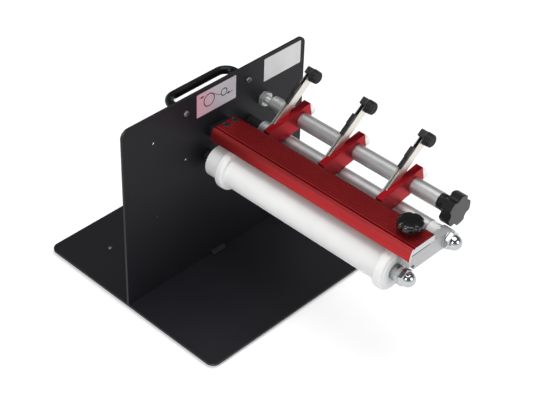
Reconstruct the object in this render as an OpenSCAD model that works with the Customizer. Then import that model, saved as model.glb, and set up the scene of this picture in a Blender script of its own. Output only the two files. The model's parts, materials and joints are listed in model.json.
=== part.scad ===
// Bench-top label slitter: three snap-off knives on a rod cut a web that runs over a white roller and
// under a guide tube. All shafts stand out from one face of an upright plate on a square base.
// X runs out of the upright, Y to the back of the base, Z up from the desk. Lengths are in mm.

/* [Base] */
// Width of the base plate, square to the upright
base_w = 280; // [200:1:340]
// Depth of the base plate, along the upright
base_d = 280; // [240:1:340]
// Thickness of the base plate
base_t = 3; // [2:0.5:6]
// Radius of the base plate's corners
base_r = 10; // [3:0.5:20]
// Diameter of a rubber foot
foot_d = 18; // [12:1:30]
// Height of a rubber foot
foot_h = 3; // [2:0.5:8]
// Distance from a foot's centre to the edges of the base plate
foot_inset = 22; // [16:1:50]
// Diameter of the head of the rivet behind the upright
rivet_d = 5; // [3:0.5:8]
// Distance from the rivet to the edges of the base plate
rivet_in = 50.5; // [40:0.5:60]

/* [Upright] */
// Height of the upright plate above the base plate
upright_h = 243; // [232:1:280]
// Thickness of the upright plate
plate_t = 3; // [2:0.5:6]
// Radius of the upright's top corners
upright_r = 10; // [3:0.5:20]
// Diameter of the upright's spare holes
spare_d = 5; // [3:0.5:8]
// Distance from the upright's front edge to the two outer spare holes
spare_outer = 45; // [30:1:60]
// Distance from the upright's front edge to the inner spare hole
spare_inner = 92; // [80:1:94]
// Distance from the upright's top edge to the first outer spare hole
spare_drop_1 = 37; // [25:1:60]
// Distance from the upright's top edge to the inner spare hole
spare_drop_2 = 83; // [70:1:130]
// Distance from the upright's top edge to the second outer spare hole
spare_drop_3 = 138; // [100:1:190]
// Leg of the angle strip behind the upright
angle_leg = 22; // [18:1:40]
// Thickness of the angle strip
angle_t = 2.5; // [1.5:0.5:4]
// Length of the angle strip
angle_len = 230; // [160:1:236]
// Thread of the angle strip's screws
angle_screw_d = 5; // [3:0.5:6]
// Length of the lug at the foot of the upright
lug_len = 21; // [8:1:40]
// Height and depth of the lug
lug_h = 6; // [3:0.5:12]

/* [Carry handle] */
// Distance between the handle's two screws
handle_pitch = 96; // [70:1:130]
// Thickness of the handle's round bar
handle_d = 10; // [8:0.5:14]
// Distance from the upright's back to the middle of the grip
handle_out = 32.5; // [28:0.5:50]
// Bend radius of the bar, at its middle line
handle_bend = 14; // [10:1:20]
// Distance from the upright's top edge to the handle's middle
handle_drop = 19.5; // [12:0.5:28]
// Thread of the handle's screws
handle_screw_d = 5; // [3:0.5:6]

/* [Labels] */
// Width of a label
label_w = 60; // [40:1:64]
// Height of a label
label_h = 30; // [15:1:34]
// Thickness of a label
label_t = 0.3; // [0.1:0.1:1]
// Distance from the upright's top edge to a label
label_drop = 4; // [2:0.5:10]
// Place of the path label along the upright
path_label_y = -2; // [-10:1:6]
// Distance from the upright's back edge to the middle of the notice label
notice_label_in = 37; // [34:1:50]

/* [Shaft fixings] */
// Thread of the guide tube's and the roller's axles
stud_d = 12; // [8:0.5:13]
// Width of an axle nut across its flats
nut_af = 18.5; // [17:0.5:19.5]
// Thickness of an axle nut
nut_t = 6.5; // [4:0.5:8]
// Thread of the knife rod's stud
rod_stud_d = 10; // [6:0.5:10]
// Width of the stud's nuts across their flats
rod_nut_af = 16.5; // [12.5:0.5:18]
// Thickness of the stud's nuts
rod_nut_t = 6; // [4:0.5:7]
// Diameter of a shaft washer
washer_d = 22; // [20:0.5:22.5]
// Thickness of a shaft washer
washer_t = 1.5; // [1:0.1:3]
// Height of a dome nut's round end
dome_h = 10; // [6:0.5:14]

/* [Knife rod] */
// Place of the rod along the upright
rod_y = 73.7; // [60:0.1:90]
// Distance from the upright's top edge down to the rod's axis
rod_drop = 56.2; // [48:0.1:73]
// Diameter of the rod
rod_d = 19; // [17:0.5:21]
// Distance from the upright's face to the rod's end
rod_gap = 16; // [10:0.5:20]
// Length of the rod
rod_len = 246; // [240:1:260]
// Depth of the threaded bores in the rod's ends
rod_bore = 18; // [10:1:30]

/* [Rod knob] */
// Width of the star knob
star_d = 37; // [30:0.5:38]
// Length of the lobes along the rod
star_t = 13.5; // [8:0.5:16]
// Number of lobes
star_lobes = 5; // [4:1:8]
// Radius of the hollow between two lobes
star_dip_r = 6.5; // [4:0.5:8]
// Diameter of the knob's skirt
skirt_d = 18.5; // [17:0.5:24]
// Length of the knob's skirt
skirt_len = 11.5; // [8:0.5:18]

/* [Guide tube] */
// Distance from the rod's axis forward to the tube's axis
guide_fwd = 21.7; // [21.3:0.1:26]
// Distance from the rod's axis down to the tube's axis
guide_drop = 21.9; // [21.5:0.1:24]
// Diameter of the tube
guide_d = 20; // [17:0.5:21]
// Wall of the tube
guide_wall = 2; // [1:0.1:3]
// Distance from the upright's face to the tube's first bush
guide_gap = 21; // [14:0.5:24]
// Length of the tube
guide_len = 246; // [236:1:260]
// Length of the first bush outside the tube
bush_near = 1; // [0.5:0.5:8]
// Length of the second bush outside the tube
bush_far = 13; // [6:0.5:16]
// Length of a bush inside the tube
bush_in = 14; // [8:1:24]
// Step from the tube's surface down to a bush's flange
bush_step = 0.6; // [0.2:0.1:1.5]

/* [End bar] */
// Thickness of the end bar along the tube
bar_t = 9.5; // [8:0.5:14]
// Height of the end bar
bar_h = 20.5; // [20:0.5:24]
// Distance from the tube's axis up to the end bar's middle line
bar_up = 1.2; // [0:0.1:1.5]
// Length of the pad that the end bar holds under the rail
pad_len = 17; // [14:0.5:22]
// Height of the pad
pad_h = 11; // [10:0.5:12]
// Distance from the end bar to the rail knob's stud
knob_in = 6; // [5:0.5:8]
// Length of the end bar from the tube's axis to its square front end
bar_len = 55; // [40:0.5:56]
// Length of the end bar's nose in front of that end
bar_nose_len = 9; // [4:0.5:20]
// Height of the nose
bar_nose_h = 18; // [10:0.5:18]
// Gap between the nose and the rail's lip
bar_nose_gap = 0.5; // [0.3:0.1:1]

/* [Web roller] */
// Distance from the rod's axis forward to the roller's axis
roller_fwd = 87.7; // [86:0.1:96]
// Distance from the rod's axis down to the roller's axis
roller_drop = 36.1; // [33:0.1:42]
// Diameter of the roller
roller_d = 38; // [32:0.5:40]
// Distance from the upright's face to the roller
roller_gap = 14; // [12:0.5:20]
// Length of the roller
roller_len = 263; // [250:1:263]
// Diameter of the roller's rims
rim_d = 48; // [42:0.5:50]
// Width of a rim
rim_w = 12; // [8:0.5:14]
// Distance from the roller's first end to its first rim
rim_in = 18.5; // [17:0.5:24]
// Rounding of a rim's edges
rim_r = 3.5; // [1:0.5:4]
// Bore of the roller
roller_bore = 24; // [20:0.5:28]
// Length of a roller bush
roller_bush = 16; // [8:1:30]
// Length of the collar at the roller's free end
collar_len = 6; // [3:0.5:8]

/* [Rail] */
// Distance from the rod's axis forward to the rail's back edge
rail_fwd = 56.7; // [54:0.1:62]
// Distance from the rod's axis up to the rail's top
rail_rise = 8.9; // [7:0.1:14]
// Thickness of the rail's flange
rail_t = 7.7; // [5:0.1:8]
// Width of the rail's flat top
rail_w = 34; // [30:0.5:40]
// Forward reach of the rail's slanted lip
lip_out = 5.5; // [2:0.5:8]
// Depth of the lip below the rail's top
lip_drop = 14.2; // [11:0.1:15]
// Thickness of the lip's lower edge
lip_t = 2.6; // [1.5:0.1:4]
// Distance from the upright's face to the rail's end
rail_gap = 12; // [6:0.5:16]
// Length of the rail beyond the end bar
rail_over = 7.3; // [3:0.1:14]
// Number of ribs on the rail's top
rib_count = 9; // [5:1:14]
// Depth of the grooves between the ribs
rib_depth = 0.6; // [0.2:0.1:1]
// Distance from the rail's front edge to the middle of the first rib
rib_start = 4.5; // [4:0.1:6]
// Width of the wide groove at the rail's front edge
edge_groove_w = 2.2; // [1:0.1:2.4]
// Depth of the wide groove
edge_groove_h = 1; // [0.4:0.1:2]
// Width of the slope along the rail's back edge
back_slope_w = 3.2; // [1:0.1:4]
// Fall of the slope along the rail's back edge
back_slope_h = 0.5; // [0.2:0.1:2]
// Length of the block that carries the rail at the upright
block_len = 26; // [22:1:30]
// Height of the block
block_h = 14; // [10:0.5:15]
// Thread of the rail's and the block's screws
rail_screw_d = 5; // [4:0.5:6]
// Distance between the two rail screws
rail_screw_pitch = 14; // [11:0.5:15]

/* [Rail knob] */
// Width of the lobed knob
knob_d = 29; // [24:1:34]
// Height of the knob
knob_h = 12; // [10:0.5:18]
// Number of lobes
knob_lobes = 5; // [4:1:8]
// Radius of the hollow between two lobes
knob_dip_r = 3.5; // [3:0.5:6]
// Thread of the knob's stud
knob_stud_d = 8; // [5:0.5:9]
// Length of the stud inside the end bar
knob_stud_in = 9; // [6:0.5:10]

/* [Knife arms] */
// Thickness of an arm along the rod
arm_t = 9.2; // [8:0.1:12]
// Height of an arm
arm_h = 24; // [22:0.5:28]
// Slope of an arm, nose down
arm_tilt = 8.5; // [6:0.5:10]
// Length of an arm behind the rod's axis
arm_back = 13.8; // [12.5:0.1:18]
// Gap between an arm's nose and the rail
nose_gap = 2.6; // [1.5:0.1:4]
// Gap between an arm and the guide tube
arm_lift = 0.8; // [0.5:0.1:2]
// Distance from the upright's face to the first arm's outer side
arm_first = 62; // [61:0.5:70]
// Distance from one arm to the next
arm_pitch = 82; // [76:1:82]
// Diameter of a thumbscrew's head
screw_head_d = 13; // [9:0.5:15]
// Thickness of a thumbscrew's head
screw_head_t = 6; // [4:0.5:8]
// Thread of a thumbscrew
screw_d = 6; // [4:0.5:6]
// Height of a thumbscrew above the rod's axis
screw_up = 3; // [0:0.5:5]

/* [Cutters] */
// Distance along the arm from the rod's axis to the cutter
cut_u = 25; // [22:0.1:28]
// Slope of a cutter against its arm
cut_tilt = 28.5; // [26:0.1:31]
// Length of a sleeve above the arm's top
sleeve_up = 61.5; // [58:0.5:75]
// Length of a sleeve inside the arm
sleeve_in = 22; // [16:0.5:24]
// Thickness of a sleeve
sleeve_t = 5; // [4:0.1:6]
// Depth of the groove that seats a sleeve in its arm
sleeve_seat = 2.6; // [2:0.1:3.5]
// Height of a sleeve's open edge above its blade
sleeve_rise = 1.4; // [0.8:0.1:2]
// Wall of a sleeve
sleeve_wall = 0.6; // [0.4:0.1:0.8]
// Width of a blade
blade_w = 9; // [7:0.1:10]
// Thickness of a blade
blade_t = 0.5; // [0.3:0.1:0.8]
// Length of a blade
blade_len = 80; // [76:1:84]
// Slope of a blade's end against its edge
blade_end = 60; // [45:1:75]
// Gap between a blade's point and the roller
tip_clear = 1; // [0.5:0.1:3]
// Length of a slider
slider_len = 26; // [18:1:28]
// Height of a slider above its sleeve
slider_h = 4.2; // [3:0.1:6]
// Length of a slider over its blade
slider_lap = 5.7; // [3:0.1:8]
// Length of a cap
cap_len = 10.5; // [9:0.5:16]
// Width of a cap, across the cutter
cap_w = 13.5; // [13:0.5:16]
// Reach of a cap from the sleeve's middle toward the upright
cap_near = 5.3; // [3.5:0.1:7]
// Reach of a cap's plain part from the sleeve's middle away from the upright
cap_far = 3.6; // [3.2:0.1:5]
// Diameter of the drum beside a cap's plain part
drum_d = 15.5; // [13:0.5:18]
// Length of the drum, along the rod
drum_len = 8.5; // [6:0.1:12]
// Step from the drum's top down to the plain part's top
cap_step = 1.6; // [0:0.1:2]
// Offset of a cap toward the sleeve's open edge
cap_up = 0.8; // [0:0.1:1]
// Length of a sleeve inside its cap
cap_lap = 5; // [2:0.5:7]

/* [Clearances] */
// Radial clearance of a running fit
run_fit = 0.05; // [0.02:0.01:0.1]
// Radial clearance of a screw in a plain hole
hole_fit = 0.3; // [0.1:0.05:0.6]
// Play of a turning part along its shaft
end_play = 0.2; // [0.1:0.05:0.4]
// Gap on each side of a sleeve in its groove and of a slider in its sleeve
slide_fit = 0.1; // [0.05:0.01:0.2]

/* [Hidden] */
$fn = 64;

// Overlap of a cutting tool past the face that it opens
cut = 1;

// Levels and faces
base_top = foot_h + base_t;
upright_top = base_top + upright_h;
face = plate_t / 2;
back = -plate_t / 2;

// Shaft axes in the Y-Z plane, and radii
rod_z = upright_top - rod_drop;
rod_r = rod_d / 2;
guide_y = rod_y - guide_fwd;
guide_z = rod_z - guide_drop;
guide_r = guide_d / 2;
roller_y = rod_y - roller_fwd;
roller_z = rod_z - roller_drop;
roller_r = roller_d / 2;
stud_r = stud_d / 2;
rod_stud_r = rod_stud_d / 2;
axle_places = [[guide_y, guide_z], [roller_y, roller_z]];
spacer_r = stud_r + 1;
washer_back = back - washer_t;
nut_back = washer_back - nut_t;
rod_nut_back = washer_back - rod_nut_t;
// Length of thread that shows beyond a nut at the back
thread_end = 3;
hex_r = nut_af / 2 / cos(30);
rod_hex_r = rod_nut_af / 2 / cos(30);

// Rod
rod_x0 = face + rod_gap;
rod_x1 = rod_x0 + rod_len;
skirt_x0 = rod_x1 + end_play;
star_x0 = skirt_x0 + skirt_len;
knob_thread_r = 5;
// Turns of the first hollow of the rail knob and of the star knob
knob_turn = 46;
star_turn = 32;

// Guide tube, end bar and rail along X
bush_x0 = face + guide_gap;
tube_x0 = bush_x0 + bush_near;
tube_x1 = tube_x0 + guide_len;
bush_x1 = tube_x1 + bush_far;
bar_x0 = bush_x1 + end_play + washer_t;
bar_x1 = bar_x0 + bar_t;
guide_bore_r = guide_r - guide_wall;
rail_x0 = face + rail_gap;
rail_x1 = bar_x1 + rail_over;
knob_x = bar_x0 - knob_in;

// Rail in the Y-Z plane
rail_back = rod_y - rail_fwd;
rail_front = rail_back - rail_w;
rail_top = rod_z + rail_rise;
rail_low = rail_top - rail_t;
lip_z = rail_top - lip_drop;
rib_pitch = (rail_w - rib_start - back_slope_w) / (rib_count - 0.25);
rib_groove = rib_pitch * 0.4;
knob_y = rail_back - rail_w * 0.38;
// Back edge of what carries the rail, set in from the rail's back edge
seat_in = 1;
seat_back = rail_back - seat_in;
bar_front = guide_y - bar_len;
bar_z = guide_z + bar_up;
pad_front = knob_y - knob_stud_d * 1.1;
block_x1 = face + block_len;
block_w = rail_w - seat_in - lip_out;
block_z = rail_low - block_h;
rail_screw_x = rail_x0 + (block_x1 - rail_x0) * 0.35;
rail_screw_y = seat_back - block_w * 0.42;
rail_screw_r = rail_screw_d / 2;
rail_head_r = rail_screw_r * 1.7;
rail_head_t = rail_screw_d * 0.6;
rail_screw_in = block_h * 0.55;
block_screw_in = block_len * 0.3;
block_screw_z = block_z + block_h * 0.3;

// Roller along X
roller_x0 = face + roller_gap;
roller_x1 = roller_x0 + roller_len;
collar_x0 = roller_x1 + end_play;
jam_x0 = collar_x0 + collar_len;
dome_x0 = jam_x0 + nut_t * 0.7;
roller_bore_r = roller_bore / 2;
rim_last = roller_len - rim_w - 1;
rim_round = min(rim_r, rim_d / 2 - roller_r);

// Arm frame: origin on the rod's axis, u forward along the arm, v square to it and upward
function arm_u(fwd, drop) = fwd * cos(arm_tilt) + drop * sin(arm_tilt);
function arm_v(fwd, drop) = fwd * sin(arm_tilt) - drop * cos(arm_tilt);
arm_low = -arm_v(guide_fwd, guide_drop) - guide_r - arm_lift;
arm_top = arm_h - arm_low;
arm_reach = (rail_fwd - nose_gap - arm_top * sin(arm_tilt)) / cos(arm_tilt);
arm_bore_r = rod_r + run_fit;
screw_r = screw_d / 2;
screw_tip = rod_r + end_play;

// Cutter frame: origin where the cutter's middle line crosses the arm's top, s down the cutter
roller_du = arm_u(roller_fwd, roller_drop) - cut_u;
roller_dv = arm_v(roller_fwd, roller_drop) - arm_top;
roller_s = roller_du * cos(cut_tilt) - roller_dv * sin(cut_tilt);
roller_w = roller_du * sin(cut_tilt) + roller_dv * cos(cut_tilt);
tip_r = roller_r + tip_clear;
tip_s = roller_s - sqrt(pow(tip_r, 2) - pow(roller_w + blade_w / 2, 2));
tail_s = tip_s - blade_len;
slider_s = tail_s + slider_lap;
sleeve_low = -blade_w / 2 - slide_fit - sleeve_wall;
sleeve_high = blade_w / 2 + sleeve_rise;
slot_t = sleeve_t - 2 * sleeve_wall;
cap_s = -sleeve_up + cap_lap;

// Places the arm frame of one of the three arms, with X at the arm's outer side
module at_arm(i) {
  translate([face + arm_first + (i - 1) * arm_pitch, rod_y, rod_z])
    rotate([arm_tilt, 0, 0])
      children();
}

// Places the cutter frame of one arm, with X at the sleeve's middle and Y up the cutter
module at_cutter(i) {
  at_arm(i)
    translate([-arm_t + sleeve_seat - sleeve_t / 2, -cut_u, arm_top])
      rotate([cut_tilt, 0, 0])
        children();
}

// A bar along X from x0 to x1
module rod_x(x0, x1, r) {
  translate([x0, 0, 0])
    rotate([0, 90, 0])
      cylinder(h = x1 - x0, r = r);
}

// A ring along X
module ring_x(x0, x1, r, bore) {
  difference() {
    rod_x(x0, x1, r);
    rod_x(x0 - cut, x1 + cut, bore);
  }
}

// A hexagon along X, with a bore
module hex_x(x0, x1, r, bore) {
  difference() {
    translate([x0, 0, 0])
      rotate([0, 90, 0])
        cylinder(h = x1 - x0, r = r, $fn = 6);
    rod_x(x0 - cut, x1 + cut, bore);
  }
}

// A shape drawn in Y and Z, run along X from x0 to x1
module prism_x(x0, x1) {
  translate([x0, 0, 0])
    rotate([90, 0, 90])
      linear_extrude(height = x1 - x0)
        children();
}

// Half outline of a dome: radius against height, with a quarter round of a few flats
function dome_points(r) = concat(
  [[0, 0], [r, 0]],
  [for (a = [0 : 11.25 : 90]) [r * cos(a), dome_h - r + r * sin(a)]]
);

// A dome nut along X, closed at its far end
module dome_nut(x0) {
  hex_len = nut_t * 0.8;
  dome_r = min(nut_af * 0.46, dome_h);
  hex_x(x0, x0 + hex_len, hex_r, stud_r);
  translate([x0 + hex_len, 0, 0])
    rotate([0, 90, 0])
      rotate_extrude()
        polygon(dome_points(dome_r));
}

// A square with rounded corners, drawn about its middle
module rounded(w, d, r) {
  square([w - 2 * r, d], center = true);
  square([w, d - 2 * r], center = true);
  for (sx = [-1, 1], sy = [-1, 1])
    translate([sx * (w / 2 - r), sy * (d / 2 - r)])
      circle(r = r);
}

// A button-head screw along X: head from the face at x0 outward, shank the other way
module button_screw_x(x0, side, thread, shank) {
  head_r = thread * 0.9;
  head_t = thread * 0.5;
  rod_x(min(x0, x0 + side * head_t), max(x0, x0 + side * head_t), head_r);
  rod_x(min(x0, x0 - side * shank), max(x0, x0 - side * shank), thread / 2);
}

module base_plate() {
  color([0.1, 0.1, 0.11])
    difference() {
      translate([0, 0, foot_h])
        linear_extrude(height = base_t)
          rounded(base_w, base_d, base_r);
      for (sy = [-1, 1])
        translate([angle_screw_x(), sy * angle_screw_y(), foot_h - cut])
          cylinder(h = base_t + 2 * cut, d = angle_screw_d);
      at_rivet()
        cylinder(h = base_t + 2 * cut, d = rivet_d * 0.6);
    }
}

module at_rivet() {
  translate([rivet_in - base_w / 2, rivet_in - base_d / 2, foot_h - cut])
    children();
}

module base_rivet() {
  color([0.72, 0.74, 0.76])
    at_rivet()
      translate([0, 0, cut]) {
        cylinder(h = base_t, d = rivet_d * 0.6);
        translate([0, 0, base_t])
          cylinder(h = rivet_d * 0.25, d1 = rivet_d, d2 = rivet_d * 0.5);
      }
}

function angle_screw_x() = back - angle_t - (angle_leg - angle_t) * 0.5;
function angle_screw_y() = angle_len / 2 - angle_leg * 0.7;

module upright_plate() {
  color([0.1, 0.1, 0.11])
    difference() {
      prism_x(back, face)
        upright_outline();
      for (p = axle_places)
        translate([0, p[0], p[1]])
          rod_x(back - cut, face + cut, stud_r + hole_fit);
      at_rod()
        rod_x(back - cut, face + cut, rod_stud_r + hole_fit);
      for (p = spare_places())
        translate([0, p[0], p[1]])
          rod_x(back - cut, face + cut, spare_d / 2);
      for (sy = [-1, 1])
        translate([0, sy * handle_pitch / 2, handle_z()])
          rod_x(back - cut, face + cut, handle_screw_d / 2 + hole_fit);
      for (sy = [-1, 1])
        translate([0, rail_screw_y + sy * rail_screw_pitch / 2, block_screw_z])
          rod_x(back - cut, face + cut, rail_screw_r + hole_fit);
    }
}

// Places of the spare holes, from the upright's front edge and its top
function spare_places() = [
  [spare_outer - base_d / 2, upright_top - spare_drop_1],
  [spare_inner - base_d / 2, upright_top - spare_drop_2],
  [spare_outer - base_d / 2, upright_top - spare_drop_3]
];

function handle_z() = upright_top - handle_drop;

module upright_outline() {
  translate([-base_d / 2, base_top])
    square([base_d, upright_h - upright_r]);
  translate([-base_d / 2 + upright_r, base_top])
    square([base_d - 2 * upright_r, upright_h]);
  for (sy = [-1, 1])
    translate([sy * (base_d / 2 - upright_r), upright_top - upright_r])
      circle(r = upright_r);
}

module angle_strip() {
  color([0.1, 0.1, 0.11])
    difference() {
      translate([back - angle_leg, -angle_len / 2, base_top])
        difference() {
          cube([angle_leg, angle_len, angle_leg]);
          translate([-cut, -cut, angle_t])
            cube([angle_leg - angle_t + cut, angle_len + 2 * cut, angle_leg]);
        }
      for (sy = [-1, 1])
        translate([angle_screw_x(), sy * angle_screw_y(), base_top - cut])
          cylinder(h = angle_t + 2 * cut, d = angle_screw_d);
    }
}

module angle_screws() {
  color([0.7, 0.7, 0.72])
    for (sy = [-1, 1])
      translate([angle_screw_x(), sy * angle_screw_y(), foot_h])
        union() {
          cylinder(h = base_t + angle_t, d = angle_screw_d);
          translate([0, 0, base_t + angle_t])
            cylinder(h = angle_screw_d * 0.5, d = angle_screw_d * 1.8);
        }
}

module base_lug() {
  color([0.1, 0.1, 0.11])
    translate([face, -lug_len / 2, base_top])
      difference() {
        cube([lug_h, lug_len, lug_h]);
        translate([lug_h, -cut, lug_h * 0.4])
          rotate([0, -45, 0])
            cube([lug_h, lug_len + 2 * cut, lug_h * 2]);
      }
}

module rubber_feet() {
  color([0.06, 0.06, 0.06])
    for (sx = [-1, 1], sy = [-1, 1])
      translate([sx * (base_w / 2 - foot_inset), sy * (base_d / 2 - foot_inset), 0])
        cylinder(h = foot_h, d1 = foot_d * 0.88, d2 = foot_d);
}

module carry_handle() {
  bar_r = handle_d / 2;
  half = handle_pitch / 2;
  grip_x = back - handle_out;
  color([0.08, 0.08, 0.08])
    translate([0, 0, handle_z()])
      difference() {
        union() {
          for (sy = [-1, 1]) {
            translate([0, sy * half, 0])
              rod_x(grip_x + handle_bend, back, bar_r);
            translate([grip_x + handle_bend, sy * (half - handle_bend), 0])
              rotate([0, 0, sy > 0 ? 90 : 180])
                rotate_extrude(angle = 90)
                  translate([handle_bend, 0])
                    circle(r = bar_r);
          }
          translate([grip_x, half - handle_bend, 0])
            rotate([90, 0, 0])
              cylinder(h = handle_pitch - 2 * handle_bend, r = bar_r);
        }
        for (sy = [-1, 1])
          translate([0, sy * half, 0])
            rod_x(back - handle_bend, back + cut, handle_screw_d / 2);
      }
}

// Two pan-head screws with a cross recess
module handle_screws() {
  slot_w = handle_screw_d * 0.2;
  color([0.72, 0.74, 0.76])
    for (sy = [-1, 1])
      translate([0, sy * handle_pitch / 2, handle_z()])
        difference() {
          button_screw_x(face, 1, handle_screw_d, plate_t + handle_bend);
          for (a = [0, 90])
            rotate([a + 20, 0, 0])
              translate([face + handle_screw_d * 0.2, -handle_screw_d / 2, -slot_w / 2])
                cube([handle_screw_d, handle_screw_d, slot_w]);
        }
}

module label(y) {
  translate([face, y, upright_top - label_drop - label_h / 2])
    prism_x(0, label_t)
      rounded(label_w, label_h, 1);
}

module path_label() {
  color([0.93, 0.86, 0.89])
    label(path_label_y);
}

module notice_label() {
  color([0.95, 0.95, 0.95])
    label(base_d / 2 - notice_label_in);
}

// Washers behind the upright
module shaft_washers() {
  color([0.72, 0.74, 0.76]) {
    for (p = axle_places)
      translate([0, p[0], p[1]])
        ring_x(washer_back, back, washer_d / 2, stud_r);
    at_rod()
      ring_x(washer_back, back, rod_nut_af * 0.65, rod_stud_r);
  }
}

// Nuts behind the upright, and one in front of it on the rod's stud
module shaft_nuts() {
  color([0.72, 0.74, 0.76]) {
    for (p = axle_places)
      translate([0, p[0], p[1]])
        hex_x(nut_back, washer_back, hex_r, stud_r);
    at_rod() {
      hex_x(rod_nut_back, washer_back, rod_hex_r, rod_stud_r);
      hex_x(face, face + rod_nut_t, rod_hex_r, rod_stud_r);
    }
  }
}

module at_rod() {
  translate([0, rod_y, rod_z])
    children();
}

module knife_rod() {
  color([0.8, 0.81, 0.82])
    at_rod()
      difference() {
        rod_x(rod_x0, rod_x1, rod_r);
        rod_x(rod_x0 - cut, rod_x0 + rod_bore, rod_stud_r);
        rod_x(rod_x1 - rod_bore, rod_x1 + cut, knob_thread_r + run_fit);
      }
}

module rod_stud() {
  color([0.7, 0.72, 0.74])
    at_rod()
      rod_x(rod_nut_back - thread_end, rod_x0 + rod_bore, rod_stud_r);
}

module rod_knob() {
  color([0.07, 0.07, 0.07])
    at_rod()
      difference() {
        union() {
          rod_x(skirt_x0, star_x0 + cut, skirt_d / 2);
          prism_x(star_x0, star_x0 + star_t)
            rotate(star_turn)
              lobed_outline(star_d, star_lobes, star_dip_r);
        }
        rod_x(skirt_x0 - cut, star_x0 + star_t * 0.5, knob_thread_r);
      }
}

// A circle with a round hollow between each two lobes
module lobed_outline(d, lobes, dip_r) {
  difference() {
    circle(d = d);
    for (i = [0 : lobes - 1])
      rotate(360 / lobes * i)
        translate([d / 2 + dip_r * 0.45, 0])
          circle(r = dip_r);
  }
}

module rod_knob_stud() {
  color([0.7, 0.72, 0.74])
    at_rod()
      rod_x(rod_x1 - rod_bore + end_play, star_x0 + star_t * 0.5, knob_thread_r);
}

module at_guide() {
  translate([0, guide_y, guide_z])
    children();
}

module guide_axle() {
  color([0.7, 0.72, 0.74])
    at_guide()
      rod_x(nut_back - thread_end, bar_x1 + washer_t + nut_t * 0.8, stud_r);
}

module guide_spacer() {
  color([0.12, 0.12, 0.12])
    at_guide()
      ring_x(face, bush_x0 - end_play, spacer_r, stud_r);
}

module guide_tube() {
  color([0.8, 0.81, 0.82])
    at_guide()
      ring_x(tube_x0, tube_x1, guide_r, guide_bore_r);
}

module guide_bushes() {
  flange_r = guide_r - bush_step;
  color([0.94, 0.94, 0.92])
    at_guide() {
      difference() {
        union() {
          rod_x(bush_x0, tube_x0, flange_r);
          rod_x(bush_x0, tube_x0 + bush_in, guide_bore_r);
        }
        rod_x(bush_x0 - cut, tube_x0 + bush_in + cut, stud_r + run_fit);
      }
      difference() {
        union() {
          rod_x(tube_x1, bush_x1, flange_r);
          rod_x(tube_x1 - bush_in, bush_x1, guide_bore_r);
        }
        rod_x(tube_x1 - bush_in - cut, bush_x1 + cut, stud_r + run_fit);
      }
    }
}

module guide_washers() {
  color([0.72, 0.74, 0.76])
    at_guide() {
      ring_x(bar_x0 - washer_t, bar_x0, washer_d / 2, stud_r);
      ring_x(bar_x1, bar_x1 + washer_t, washer_d / 2, stud_r);
    }
}

module guide_dome_nut() {
  color([0.82, 0.84, 0.86])
    at_guide()
      dome_nut(bar_x1 + washer_t);
}

// Outline of the end bar: a round end on the tube's shaft, a part that rises to the rail and a nose
module bar_outline() {
  bar_r = bar_h / 2;
  translate([guide_y, bar_z])
    circle(r = bar_r);
  translate([bar_front, bar_z - bar_r])
    square([bar_len, bar_h]);
  translate([bar_front, bar_z])
    square([seat_back - bar_front, rail_low - bar_z]);
  translate([bar_front - bar_nose_len, lip_z - bar_nose_gap - bar_nose_h])
    square([bar_nose_len + cut, bar_nose_h]);
}

module end_bar() {
  color([0.78, 0.79, 0.8])
    difference() {
      union() {
        prism_x(bar_x0, bar_x1)
          bar_outline();
        translate([bar_x0 - pad_len, pad_front, rail_low - pad_h])
          cube([pad_len + cut, seat_back - pad_front, pad_h]);
      }
      at_guide()
        rod_x(bar_x0 - cut, bar_x1 + cut, stud_r);
      translate([knob_x, knob_y, rail_low - knob_stud_in - end_play])
        cylinder(h = knob_stud_in + end_play + cut, r = knob_stud_d / 2 + run_fit);
    }
}

module at_roller() {
  translate([0, roller_y, roller_z])
    children();
}

module roller_axle() {
  color([0.7, 0.72, 0.74])
    at_roller()
      rod_x(nut_back - thread_end, dome_x0 + nut_t * 0.8, stud_r);
}

module roller_spacer() {
  color([0.12, 0.12, 0.12])
    at_roller()
      ring_x(face, roller_x0 - end_play, spacer_r, stud_r);
}

module web_roller() {
  color([0.94, 0.94, 0.92])
    at_roller()
      ring_x(roller_x0, roller_x1, roller_r, roller_bore_r);
}

// Half outline of a rim: radius against length, with rounded corners of a few flats
function rim_points(start) = concat(
  [[roller_r, start]],
  [for (a = [0 : 22.5 : 90]) rim_corner(sin(a), start + rim_round * (1 - cos(a)))],
  [for (a = [0 : 22.5 : 90]) rim_corner(cos(a), start + rim_w - rim_round * (1 - sin(a)))],
  [[roller_r, start + rim_w]]
);

function rim_corner(rise, place) = [rim_d / 2 - rim_round + rim_round * rise, place];

module roller_rims() {
  color([0.94, 0.94, 0.92])
    at_roller()
      for (s = [rim_in, rim_last])
        translate([roller_x0, 0, 0])
          rotate([0, 90, 0])
            rotate_extrude()
              polygon(rim_points(s));
}

module roller_bushes() {
  color([0.9, 0.9, 0.88])
    at_roller() {
      ring_x(roller_x0, roller_x0 + roller_bush, roller_bore_r, stud_r + run_fit);
      ring_x(roller_x1 - roller_bush, roller_x1, roller_bore_r, stud_r + run_fit);
    }
}

module roller_collar() {
  color([0.55, 0.57, 0.6])
    at_roller()
      ring_x(collar_x0, jam_x0, nut_af / 2, stud_r);
}

module roller_jam_nut() {
  color([0.72, 0.74, 0.76])
    at_roller()
      hex_x(jam_x0, dome_x0, hex_r, stud_r);
}

module roller_dome_nut() {
  color([0.82, 0.84, 0.86])
    at_roller()
      dome_nut(dome_x0);
}

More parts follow.
